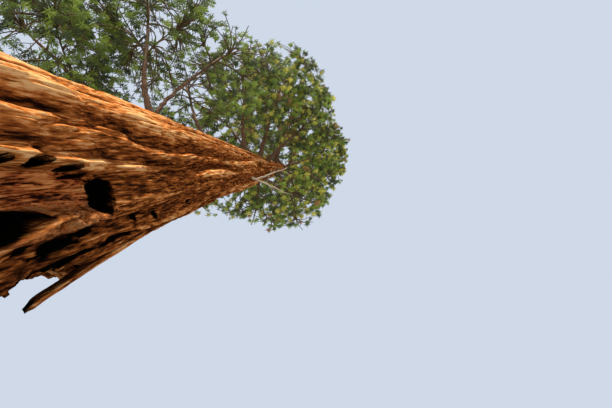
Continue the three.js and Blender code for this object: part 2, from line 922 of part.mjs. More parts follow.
// The top mass sits on the trunk's own tip.
const leader = {
  name: "leader",
  tip: polar(0, 0, trunk.top),
  heading: up.clone(),
  reach: leaderReach,
  tipRadius: skinRadius(0, trunk.top) * 0.8,
  centre: polar(0, 0, treeHeight - leaderReach * mass.along),
  stemShows: true,
  dense: true,
};

const carriers = [...boughs, leader];
const spaces = carriers.map(spaceOf);
raiseWalls(spaces);

const boneSets = carriers.map((carrier) => {
  const past = mass.stemPast * mass.along * carrier.reach;
  const stemEnd = carrier.centre.clone().addScaledVector(carrier.heading, past);
  const stem = { start: carrier.tip, end: stemEnd, radius: carrier.tipRadius };
  const own = carrier.root ? bonesOf(curveOf(carrier), carrier.rootRadius, carrier.tipRadius) : [];
  return { own, stem };
});
const trunkChain = trunkBones();

const plainTrunk = trunkSkin();
place("trunk", trunkSolid(plainTrunk), bark);
const trunkCutter = swollen(plainTrunk, seat + 0.1);
for (const bough of boughs) {
  let solid = solidOf(boughTube(bough)).subtract(trunkCutter);
  if (bough.name === lowFork.name) solid = solid.subtract(solidOf(boughTube(forked, seat + 0.1)));
  place(bough.name, biggestPiece(solid), limbBark);
}
place("dead_limb", biggestPiece(deadLimbSolid().subtract(trunkCutter)), deadWood);
carriers.forEach((carrier, i) => {
  const others = boneSets.flatMap((set, j) => (j === i ? [] : [...set.own, set.stem]));
  const bones = [...trunkChain, ...others, ...boneSets[i].own];
  const solid = massSolid(i, carrier, spaces[i], bones);
  place(carrier.name.replace("bough", "mass").replace("leader", "top_mass"), solid, leafGreen);
});

export default tree;
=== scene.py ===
import math

import bpy
import numpy as np
from mathutils import Matrix, Vector


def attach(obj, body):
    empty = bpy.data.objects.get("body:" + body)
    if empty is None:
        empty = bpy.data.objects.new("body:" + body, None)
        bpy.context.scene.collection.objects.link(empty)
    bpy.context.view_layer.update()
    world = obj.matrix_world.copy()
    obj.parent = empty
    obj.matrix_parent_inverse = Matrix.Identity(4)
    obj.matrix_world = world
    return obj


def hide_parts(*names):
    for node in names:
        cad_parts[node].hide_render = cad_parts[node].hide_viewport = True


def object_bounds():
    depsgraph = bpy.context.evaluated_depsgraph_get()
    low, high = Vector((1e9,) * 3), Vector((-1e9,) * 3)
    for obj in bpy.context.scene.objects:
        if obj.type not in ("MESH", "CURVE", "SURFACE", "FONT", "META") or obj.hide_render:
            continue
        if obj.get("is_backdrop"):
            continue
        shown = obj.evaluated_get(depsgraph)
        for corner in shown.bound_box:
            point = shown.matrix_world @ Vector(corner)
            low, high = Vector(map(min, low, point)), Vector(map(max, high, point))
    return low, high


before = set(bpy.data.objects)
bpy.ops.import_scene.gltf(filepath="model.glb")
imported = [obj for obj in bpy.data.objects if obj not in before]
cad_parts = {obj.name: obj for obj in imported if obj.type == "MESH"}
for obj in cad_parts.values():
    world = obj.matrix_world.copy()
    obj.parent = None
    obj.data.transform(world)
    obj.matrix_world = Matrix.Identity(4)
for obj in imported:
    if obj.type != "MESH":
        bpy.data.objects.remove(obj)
cadLow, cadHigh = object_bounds()
cadBox = np.array([cadLow, cadHigh])


# An sRGB hex colour such as "a8552c" as the linear colour that a shader wants.
def linearColour(hexText):
    parts = [int(hexText[i : i + 2], 16) / 255 for i in (0, 2, 4)]
    return [c / 12.92 if c <= 0.04045 else ((c + 0.055) / 1.055) ** 2.4 for c in parts] + [1.0]


# Adds a node to a tree. A key that starts with a capital, or a number, is one of its inputs, "stops"
# are the places and hex colours of a ramp, and any other key is one of its settings. A link comes
# from an output, or from a node's first one.
def addNode(tree, kind, settings={}, links={}):
    node = tree.nodes.new(kind)
    for key, value in settings.items():
        if key == "stops":
            elements = node.color_ramp.elements
            while len(elements) < len(value):
                elements.new(0.5)
            for element, (position, colour) in zip(elements, value):
                element.position = position
                element.color = linearColour(colour)
        elif isinstance(key, int) or key[0].isupper():
            node.inputs[key].default_value = value
        else:
            setattr(node, key, value)
    for key, source in links.items():
        tree.links.new(getattr(source, "outputs", [source])[0], node.inputs[key])
    return node


# An object with this mesh, curve, lamp or camera, in the scene.
def objectOf(name, data):
    made = bpy.data.objects.new(name, data)
    bpy.context.collection.objects.link(made)
    return made


# A material and its tree, with a Principled shader ready in it.
def newMaterial(name, settings):
    material = bpy.data.materials.new(name)
    material.use_nodes = True
    shader = material.node_tree.nodes["Principled BSDF"]
    for key, value in settings.items():
        shader.inputs[key].default_value = value
    return material, material.node_tree, shader


# The tree's rule, the same as its solids follow, in metres

goldenAngle = math.pi * (3 - math.sqrt(5))
upward = np.array((0.0, 0.0, 1.0))
treeHeight = 40.0
photoPlace = (0, -3.65, 0.85)  # where the photo was taken from, and where the camera stands

trunk = {
    "top": 37.5,
    "taperHeight": 41.0,
    "taperRadius": 1.515,
    "taperPower": 1.35,
    "leanX": -0.14,
    "leanHeight": 7.0,
    "flareRadius": 0.56,
    "flareHeight": 1.1,
    "rootSpurs": 7,
    "rootSpurShare": 0.34,
    "flutes": 11,
    "fluteDepth": 0.1,
    "fluteFade": 2,
    "fluteTwist": 0.055,
    "fluteWave": 0.12,
    "fluteWaveLength": 2.6,
    "fluteBend": 0.22,
    "fluteBendLength": 5.2,
    "fluteShare": 0.7,  # the rest of the relief goes round three times
}
crown = {
    "boughs": 22,
    "base": 17.5,
    "topBough": 35.7,
    "firstAzimuth": math.radians(178),
    "shiftX": -1.5,
    "halfWidthX": 5.0,
    "halfWidthY": 4.85,
    "lowShare": 0.84,
    "roundness": 2.4,
    "rise": 0.96,  # below 1 the boughs stand closer together at the top
    "stray": 0.3,
    "reachAbove": 1.2,
    "reach": (0.92, 1.08),
    "lift": (0.2, 0.32),
    "aimIn": 0.93,
    "elbowOut": 0.2,
    "elbowUp": 0.02,
}
boughLook = {
    "radius": 0.034,  # at the root, and more for each metre of reach
    "radiusMore": 0.0185,
    "tipShare": 0.42,
    "forkShare": 0.8,
    "rootIn": 0.4,  # how far in the trunk it starts, as a share of the trunk's radius
    "elbowReach": 0.13,
    "elbowUp": 0.25,
}
mass = {
    "along": 0.38,
    "across": 0.33,
    "acrossMore": 0.9,
    "tall": 0.27,
    "tallMore": 0.85,
    "lookIn": 0.9,
    "stemPast": 0.42,
    "twigs": 7,
    "openTwigs": 5,
    "twigEnd": 0.5,
    "keepOff": 0.015,
}
# Boughs that the photo shows one by one: name, height and azimuth of the root, middle of the mass,
# reach, and whether the mass is dense
seenBoughs = [
    ("side_bough", 19.9, 194, (-4.35, -1.15, 21.9), 6.5, True),
    ("low_bough_a", 10.3, 150, (-4.3, 1.5, 12.6), 6.2, False),
    ("low_bough_b", 10.5, 128, (-3.5, 3.9, 11.7), 6.8, False),
    ("low_bough_c", 13.2, 158, (-2.9, 1.35, 15.1), 4.3, False),
    ("low_bough_d", 13.9, 84, (0.35, 3.05, 15.6), 4.5, False),
]
lowFork = {
    "from": "low_bough_a",
    "leaves": 0.42,
    "runsOn": 0.25,
    "turnsOff": 0.42,
    "aim": (-3.5, -0.05, 13.7),
    "reach": 3.2,
}
leaderReach = 4.2


# A repeatable number from 0 to 1 for each set of keys.
def chance(a, b=0, c=0):
    wave = math.sin(a * 12.9898 + b * 78.233 + c * 37.719 + 4.1) * 43758.5453
    return wave - math.floor(wave)


def unit(vector):
    return vector / np.linalg.norm(vector)


def mix(one, other, share):
    return one + (other - one) * share


def smoothStep(low, high, value):
    t = np.clip((value - low) / (high - low), 0, 1)
    return t * t * (3 - 2 * t)


def bell(away, half):
    return np.exp(-((away / half) ** 2))


def leanAt(height):
    return trunk["leanX"] * (1 - bell(height, trunk["leanHeight"]))


def polar(azimuth, radius, height):
    x = radius * math.cos(azimuth) + leanAt(height)
    return np.array((x, radius * math.sin(azimuth), height))


def levelSide(heading):
    side = np.cross(upward, heading)
    return np.array((0.0, 1.0, 0.0)) if np.linalg.norm(side) < 0.05 else unit(side)


def trunkRadius(height):
    taper = np.maximum(0, 1 - height / trunk["taperHeight"]) ** trunk["taperPower"]
    return trunk["taperRadius"] * taper


def flareAt(height):
    return trunk["flareRadius"] * np.exp(-height / trunk["flareHeight"])


def skinRadius(azimuth, height):
    spurs = 1 + trunk["rootSpurShare"] * np.cos(trunk["rootSpurs"] * azimuth + 0.8)
    depth = trunk["fluteDepth"] * (1 - height / trunk["top"]) ** trunk["fluteFade"]
    turned = azimuth + trunk["fluteTwist"] * height
    turned = turned + trunk["fluteWave"] * np.sin(height / trunk["fluteWaveLength"])
    bend = trunk["fluteBend"] * np.sin(2 * azimuth + height / trunk["fluteBendLength"])
    ridges = 1.57 * np.abs(np.cos(trunk["flutes"] * (turned + bend) / 2)) - 1
    flutes = mix(np.cos(3 * azimuth + 1), ridges, trunk["fluteShare"])
    return trunkRadius(height) * (1 + depth * flutes) + flareAt(height) * spurs


def crownReach(azimuth, height):
    c = math.cos(azimuth) / crown["halfWidthX"]
    s = math.sin(azimuth) / crown["halfWidthY"]
    shift = crown["shiftX"] / crown["halfWidthX"]
    a = c * c + s * s
    b = -c * shift
    edge = (-b + math.sqrt(b * b - a * (shift * shift - 1))) / a
    rise = (height - crown["base"]) / (treeHeight - crown["base"])
    low = 1 - (1 - crown["lowShare"]) * math.exp(-7 * rise)
    return edge * low * math.sqrt(1 - rise ** crown["roundness"])


def boughFrom(name, root, elbow, aim, reach, dense):
    heading = unit(aim - elbow)
    rootRadius = boughLook["radius"] + boughLook["radiusMore"] * reach
    return {
        "name": name,
        "root": root,
        "elbow": elbow,
        "tip": aim - heading * mass["lookIn"] * mass["along"] * reach,
        "heading": heading,
        "reach": reach,
        "rootRadius": rootRadius,
        "tipRadius": rootRadius * boughLook["tipShare"],
        "centre": aim,
        "dense": dense,
        "stemPast": 0 if dense else mass["stemPast"],
    }


def crownBoughs():
    made = []
    for i in range(crown["boughs"]):
        share = i / (crown["boughs"] - 1)
        height = mix(crown["base"], crown["topBough"], share ** crown["rise"])
        azimuth = crown["firstAzimuth"] + i * goldenAngle + crown["stray"] * (chance(i, 1) - 0.5)
        reach = crownReach(azimuth, height + crown["reachAbove"]) * mix(*crown["reach"], chance(i, 2))
        skin = float(trunkRadius(height))
        lift = reach * mix(*crown["lift"], chance(i, 3))
        root = polar(azimuth, skin * boughLook["rootIn"], height)
        elbow = polar(azimuth, mix(skin, reach, crown["elbowOut"]), height + reach * crown["elbowUp"])
        aim = polar(azimuth, reach * (1 - mass["along"] * crown["aimIn"]), height + lift)
        made.append(boughFrom(f"bough_{i + 1:02d}", root, elbow, aim, reach, True))
    return made


def singleBoughs():
    made = []
    for name, height, turn, aim, reach, dense in seenBoughs:
        azimuth = math.radians(turn)
        skin = float(trunkRadius(height))
        root = polar(azimuth, skin * boughLook["rootIn"], height)
        elbow = polar(azimuth, skin + reach * boughLook["elbowReach"], height + boughLook["elbowUp"])
        made.append(boughFrom(name, root, elbow, np.array(aim), reach, dense))
    return made


# Points along a quadratic curve.
def sampled(start, control, end, steps):
    ts = np.linspace(0, 1, steps + 1)[:, None]
    return (1 - ts) ** 2 * start + 2 * ts * (1 - ts) * control + ts**2 * end


# The point at a share of a bough's length, and the tangent there.
def atLength(bough, share):
    root, elbow, tip = bough["root"], bough["elbow"], bough["tip"]
    points = sampled(root, elbow, tip, 200)
    run = np.concatenate(([0], np.cumsum(np.linalg.norm(np.diff(points, axis=0), axis=1))))
    t = float(np.interp(share * run[-1], run, np.linspace(0, 1, 201)))
    tangent = unit(2 * (1 - t) * (elbow - root) + 2 * t * (tip - elbow))
    return (1 - t) ** 2 * root + 2 * t * (1 - t) * elbow + t * t * tip, tangent


def forkBough(carrier):
    root, along = atLength(carrier, lowFork["leaves"])
    aim = np.array(lowFork["aim"])
    elbow = root + along * lowFork["runsOn"] + unit(aim - root) * lowFork["turnsOff"]
    fork = boughFrom("low_bough_a_fork", root, elbow, aim, lowFork["reach"], False)
    fork["rootRadius"] *= boughLook["forkShare"]
    return fork


def leaderOf():
    top = trunk["top"]
    return {
        "name": "leader",
        "tip": polar(0, 0, top),
        "heading": upward,
        "reach": leaderReach,
        "tipRadius": float(skinRadius(0, top)) * 0.8,
        "centre": polar(0, 0, treeHeight - leaderReach * mass["along"]),
        "dense": True,
        "stemPast": mass["stemPast"],
    }


# The space of a mass: an egg round its middle, cut off by walls where it meets the next mass.
def spaceOf(bough):
    ahead = bough["heading"]
    side = levelSide(ahead)
    reach = bough["reach"]
    wide, tall = mass["across"] * reach + mass["acrossMore"], mass["tall"] * reach + mass["tallMore"]
    half = np.array((mass["along"] * reach, wide, tall))
    axes = np.array((ahead, side, np.cross(ahead, side)))
    return {"centre": bough["centre"], "axes": axes, "half": half, "walls": []}


def raiseWalls(spaces):
    for i, one in enumerate(spaces):
        for other in spaces[i + 1 :]:
            between = other["centre"] - one["centre"]
            distance = np.linalg.norm(between)
            direction = between / distance
            own, theirs = (np.linalg.norm(s["axes"] @ direction * s["half"]) for s in (one, other))
            if own + theirs < distance:
                continue
            wall = one["centre"] + direction * (distance * own / (own + theirs))
            one["walls"].append((wall, direction))
            other["walls"].append((wall, -direction))


def inSpace(space, point, over=0.0):
    offset = space["axes"] @ (point - space["centre"]) / space["half"]
    if offset @ offset > 1.0001:
        return False
    if np.any(point < cadBox[0]) or np.any(point > cadBox[1]):
        return False
    return all((point - wall) @ outward < over - mass["keepOff"] for wall, outward in space["walls"])


def wayOut(space, start, direction, over=0.0):
    o = space["axes"] @ (start - space["centre"]) / space["half"]
    d = space["axes"] @ direction / space["half"]
    a, b, c = d @ d, d @ o, o @ o - 1
    way = (-b + math.sqrt(max(0, b * b - a * c))) / a
    for wall, outward in space["walls"]:
        speed = direction @ outward
        if speed > 0:
            way = min(way, (over - mass["keepOff"] - (start - wall) @ outward) / speed)
    return way


# Points all over a unit ball, evenly spread.
def ballPoint(i, count):
    z = 1 - (2 * i + 1) / count
    ring = math.sqrt(1 - z * z)
    return np.array((ring * math.cos(i * goldenAngle), ring * math.sin(i * goldenAngle), z))


singles = singleBoughs()
forked = next(bough for bough in singles if bough["name"] == lowFork["from"])
boughs = [*singles, forkBough(forked), *crownBoughs()]
carriers = [*boughs, leaderOf()]
spaces = [spaceOf(carrier) for carrier in carriers]
raiseWalls(spaces)
print(f"rule: {len(carriers)} masses of foliage on {len(boughs)} boughs and the trunk's tip")


# Noise for the bark, on a lattice that closes round the trunk

def latticeValue(column, row, seed):
    n = (column * 374761393 + row * 668265263 + seed * 69069) & 0xFFFFFFFF
    n = ((n ^ (n >> 13)) * 1274126177) & 0xFFFFFFFF
    return ((n ^ (n >> 16)) & 0xFFFFFF) / 0x7FFFFF - 1


# Smooth noise from -1 to 1. turns is the way round the trunk, from 0 to 1, and rows the way up.
def noise(turns, rows, around, seed):
    x = turns * around
    column = np.floor(x).astype(np.int64)
    row = np.floor(rows).astype(np.int64)
    u = x - column
    v = rows - row
    u = u * u * (3 - 2 * u)
    v = v * v * (3 - 2 * v)
    left, right = column % around, (column + 1) % around
    low = mix(latticeValue(left, row, seed), latticeValue(right, row, seed), u)
    high = mix(latticeValue(left, row + 1, seed), latticeValue(right, row + 1, seed), u)
    return mix(low, high, v)


# Layers of noise as (depth, length in metres, how many round the trunk, seed)
roughness = {
    "sway": [(0.011, 2.4, 7, 1), (0.0035, 0.8, 23, 2)],
    "wobble": [(0.02, 0.35, 60, 41)],
    "grain": [(0.035, 2.2, 60, 50), (0.03, 1.6, 150, 51), (0.014, 0.8, 340, 52)],
    "ragged": [(0.22, 0.11, 210, 61), (0.15, 0.3, 90, 62)],
    "slabGrain": [(0.14, 0.8, 22, 71), (0.08, 0.3, 48, 72)],
    "lumps": [(1, 0.08, 170, 91), (0.8, 0.035, 320, 92)],
    "jagged": [(0.014, 0.07, 30, 93), (0.01, 0.03, 60, 94)],
}


def layered(kind, turns, height):
    layers = roughness[kind]
    return sum(depth * noise(turns, height / length, around, seed) for depth, length, around, seed in layers)


# The relief of the bark: ridges with furrows between them in four sizes, and flat plates
barkRelief = {
    # how many round the trunk, metres long and deep, how sharp, and how deep and wide its furrows are
    "layers": [
        (22, 8.0, 0.028, 0.6, 1.0, 0.12),
        (52, 3.6, 0.026, 0.6, 0.9, 0.16),
        (130, 1.4, 0.016, 0.7, 0.55, 0.22),
        (330, 0.6, 0.011, 1.0, 0.3, 0.3),
    ],
    "slip": 0.6,  # how far ridges break off and start again beside themselves
    "slipLength": 0.9,
    "plates": (48, 0.9, 0.016, 0.05),  # how many round the trunk, metres long and deep, how soft
    "furrowDepth": 0.03,
    "furrowDark": 0.75,
    "sunk": 0.012,  # how far the middle of the relief lies inside the line of the solid
    "fullGirth": 1.3,  # a thinner trunk has less relief
    "leastShare": 0.12,
}
# What the photo shows on the trunk: folds as (height, azimuth in degrees) from bottom to top, how
# far they stand out, and half their width. One may be burnt, or pale where it has aged
folds = [
    {"stands": 0.06, "half": 0.16, "path": [(2.6, -143), (4.3, -142), (5.4, -141), (6.6, -141)]},
    {
        "stands": 0.06,
        "half": 0.13,
        "path": [(1.5, -128), (3.9, -126), (4.8, -123.5), (6.2, -124.2), (7.4, -124), (9, -119), (12, -113)],
    },
    {
        "stands": -0.09,
        "half": 0.09,
        "path": [(1.8, -121), (3.8, -119.2), (4.4, -118), (5.1, -116.5), (5.8, -116.2), (6.4, -111.5)]
        + [(7.7, -109), (11, -105)],
    },
    {
        "stands": 0.07,
        "half": 0.12,
        "path": [(1.2, -112), (3.6, -109), (4.2, -108), (4.6, -105.8), (5.1, -109.6), (5.4, -109)]
        + [(5.9, -104.8), (6.8, -101.8), (8.5, -102.5), (12, -98)],
    },
    {
        "stands": -0.07,
        "half": 0.08,
        "path": [(2.4, -106), (3.6, -103.8), (3.9, -102.5), (4.4, -101.1), (4.9, -101.2), (5.6, -99.2)]
        + [(6.7, -95.8), (8.4, -94.6), (11, -93)],
    },
    {
        "stands": 0.07,
        "half": 0.1,
        "path": [(1.6, -102), (3.5, -99.6), (3.9, -98.4), (4.3, -97), (4.7, -94.8), (5.2, -93.9)]
        + [(5.9, -94.2)],
    },
    {
        "stands": -0.06,
        "half": 0.06,
        "path": [(4.3, -93.2), (4.7, -91), (5.1, -89.9), (6, -88.6), (7.2, -88.4)],
    },
    {
        "stands": 0.05,
        "half": 0.12,
        "path": [(5.2, -86.5), (5.6, -86.5), (6.6, -85), (8.3, -86), (11.4, -83)],
    },
    {
        "stands": 0.06,
        "half": 0.035,
        "pale": 0.75,
        "path": [(2.5, -64), (3.3, -69.6), (3.5, -70.9), (3.7, -72.2), (3.9, -73.7), (4.05, -74.9)]
        + [(4.12, -75.2)],
    },
    {
        "stands": 0.055,
        "half": 0.04,
        "pale": 0.75,
        "path": [(2.5, -61), (3.4, -66.5), (3.75, -68.8), (4.1, -70.2), (4.45, -70.8), (4.7, -72)]
        + [(4.95, -72.6), (5.2, -74.8)],
    },
    {"stands": 0.022, "half": 0.05, "path": [(5.4, -76.5), (6.8, -77.3), (8.4, -75), (14, -70)]},
    {
        "stands": -0.08,
        "half": 0.07,
        "path": [(2.2, -60), (3.55, -62.6), (4, -64.6), (4.6, -63.2), (5.3, -62.4), (6, -60.5), (6.7, -58.5)]
        + [(8.25, -57), (10.5, -52)],
    },
    {
        "stands": 0.06,
        "half": 0.1,
        "path": [(2.2, -56), (3.6, -57.8), (4.65, -59.8), (5.4, -58.8), (6.4, -54.2), (8.1, -47.5)],
    },
    {
        "stands": -0.05,
        "half": 0.035,
        "burnt": 1,
        "path": [(4.3, -47.2), (4.62, -48), (4.85, -49.2), (5, -49.6), (5.14, -49.6), (5.25, -50.4)]
        + [(5.6, -50.8)],
    },
    {"stands": -0.08, "half": 0.3, "path": [(4.6, -28), (5.7, -26), (8.5, -20), (14, -18)]},
]
foldLook = {
    "steep": (0.55, 1.2),  # a fold's two sides, as shares of half its width
    "fade": (-0.7, 0.1),  # metres past its ends, and short of them, between which it fades
    # painted light and shade: a fold that stands out is painted lighter, as a highlight, and a groove
    # darker, as shade
    "paintedLightAndShade": (6, 7),  # how much lighter a fold is, and how much darker a groove, for each metre
    "burntFrom": (0.1, 0.35),
    "paleHalf": 0.03,
    "paleAbove": (1.5, 3),
    "paleBelow": (6, 4.4),
}
shade = {"from": (-92, -74), "to": (-48, -62), "darker": 0.32, "smoother": 0.4}  # right of the scar
# The fire scar: how far its right and left edges lie from its middle line, at each height
scar = {
    "azimuth": -83,
    "halfTurn": 1.2,
    "depths": [(4.2, 0.29), (4.9, 0.15)],
    "right": [(-0.2, 0.72), (1.9, 0.45), (3.5, 0.25), (3.8, 0.197), (4.1, 0.147), (4.3, 0.165)]
    + [(4.5, 0.19), (4.78, 0.205), (5.03, 0.1)],
    "left": [(-0.2, -0.76), (1.5, -0.6), (3.6, -0.34), (4.48, -0.23), (4.83, -0.11), (5.03, 0.06)],
    "jaggedAbove": (4.1, 4.35),
    "lipWidth": 0.045,
    "lip": (0.05, 0.05, 0.06),  # how high it stands, how far outside the edge, and half its width
}
# The rolled edge on the right of the scar: how wide low down and at the top, and its small ridges
callus = {
    "width": 0.06,
    "topWidth": 0.04,
    "narrows": (4.0, 4.4),
    "ridge": 0.06,
    "bend": 42.857,
    "stands": 0.022,
    "foldShare": 0.7,
    "pale": 0.5,
    "paleBelow": (4.95, 4.6),
}
# Knobs of callus beside the opening: azimuth, height, half width and half height
knobs = {"oval": (-72.5, 4.42, 0.15, 0.42), "stands": 0.034, "smoother": 0.6, "lighter": 0.35, "pale": 0.8}
# Hollows burnt into the bark: azimuth, height, half width, half height, depth, how black and how
# ragged. Their black is char and painted shade. Only the first, which lies at the top of the scar, has
# a lit wall below its roof, and only its roof, which faces down, is painted black
burntPockets = [
    (-81.2, 4.92, 0.1725, 0.22, 0.2, 1.0, 0.2),
    (-96.7, 3.54, 0.035, 0.13, 0.16, 1.0, 0.6),
    (-96.6, 3.97, 0.04, 0.145, 0.15, 1.0, 0.6),
    (-94.2, 4.45, 0.035, 0.12, 0.15, 1.0, 0.6),
    (-49.5, 5.43, 0.065, 0.18, 0.13, 1.0, 0.6),
    (-10.0, 3.9, 0.875, 1.85, 0.42, 0.5, 0.25),
]
hollowRoof = {"height": 5.02, "slope": 1.45, "radius": 1.07, "blend": 0.02}
# The opening low in the scar, black with char and with painted shade inside it: its left and right edges in
# degrees at each height
opening = {
    "left": [(0.5, -84), (2.4, -82), (3.3, -80.3), (3.6, -78.5), (3.8, -77.2), (3.98, -76.7), (4.06, -76.7)],
    "right": [(0.5, -66), (2.4, -67.5), (3.3, -71.6), (3.5, -72.9), (3.7, -74.2), (3.86, -75.5)]
    + [(3.98, -76.3), (4.06, -76.6)],
    "deep": 0.36,
    "wall": 0.05,
    "foot": (0.7, 1.6),
    "rim": (-0.024, -0.005),  # the black starts just outside its edge
    "uneven": 0.006,
    "calm": 0.95,  # how far the bark beside it is smoothed
    "calmHalf": 0.08,
    "calmBelow": (4.35, 4.15),
}
# Scorched places with no hollow: azimuth, height, half width and half height
scorched = [
    (-59.4, 4.31, 0.14, 0.46),
    (-62.5, 4.85, 0.07, 0.24),
    (-69.3, 3.62, 0.028, 0.24),
    (-64.2, 3.75, 0.035, 0.25),
    (-72.0, 5.14, 0.03, 0.07),
    (-59.7, 5.98, 0.05, 0.10),
    (-57.5, 6.65, 0.05, 0.10),
    (-57.4, 8.25, 0.05, 0.14),
    (-55.5, 9.76, 0.05, 0.14),
    (-41.0, 7.08, 0.06, 0.12),
    (-90.5, 4.62, 0.03, 0.14),
]


def nearAngle(azimuth, degrees):
    away = azimuth - np.radians(degrees)
    return (away + math.pi) % (2 * math.pi) - math.pi


# What a table of (height, value) gives at each height.
def atHeight(height, table, beyond=None):
    return np.interp(height, *zip(*table), right=beyond)


# 1 in the middle of an oval on the bark, 0 on its edge, and less beyond.
def inOval(azimuth, height, turn, level, halfWide, halfTall):
    across = nearAngle(azimuth, turn) * trunkRadius(height) / halfWide
    return 1 - across**2 - ((height - level) / halfTall) ** 2


def ridgesAndFurrows(turns, height):
    rough, furrow = np.zeros_like(height), np.zeros_like(height)
    for i, (around, length, depth, power, furrowShare, furrowWidth) in enumerate(barkRelief["layers"]):
        slip = barkRelief["slip"] * noise(turns, height / barkRelief["slipLength"], 26, 80 + i)
        n = np.abs(noise(turns, height / length + slip + 9.3 * i, around, 11 + i))
        rough += depth * (2 * n**power - 1)
        furrow = np.maximum(furrow, furrowShare * bell(n, furrowWidth))
    around, length, depth, soft = barkRelief["plates"]
    rough += depth * (smoothStep(-soft, soft, noise(turns, height / length, around, 31)) - 0.5)
    return rough - barkRelief["furrowDepth"] * furrow, furrow


# How far the folds stand out, and how far they are burnt and pale.
def foldsAt(azimuth, height, wobble):
    stands, burnt, pale = np.zeros_like(height), np.zeros_like(height), np.zeros_like(height)
    paleRange = smoothStep(*foldLook["paleBelow"], height) * smoothStep(*foldLook["paleAbove"], height)
    for fold in folds:
        across = nearAngle(azimuth, atHeight(height, fold["path"])) * trunkRadius(height) + wobble
        fade = smoothStep(*foldLook["fade"], height - fold["path"][0][0])
        fade *= smoothStep(*foldLook["fade"], fold["path"][-1][0] - height)
        steep = np.where(across > 0, *foldLook["steep"]) if fold["stands"] > 0 else 1
        shape = fade * bell(across, fold["half"] * steep)
        stands += fold["stands"] * shape
        burnt = np.maximum(burnt, fold.get("burnt", 0) * smoothStep(*foldLook["burntFrom"], shape))
        pale = np.maximum(pale, fold.get("pale", 0) * bell(across, foldLook["paleHalf"]) * paleRange)
    return stands, burnt, pale
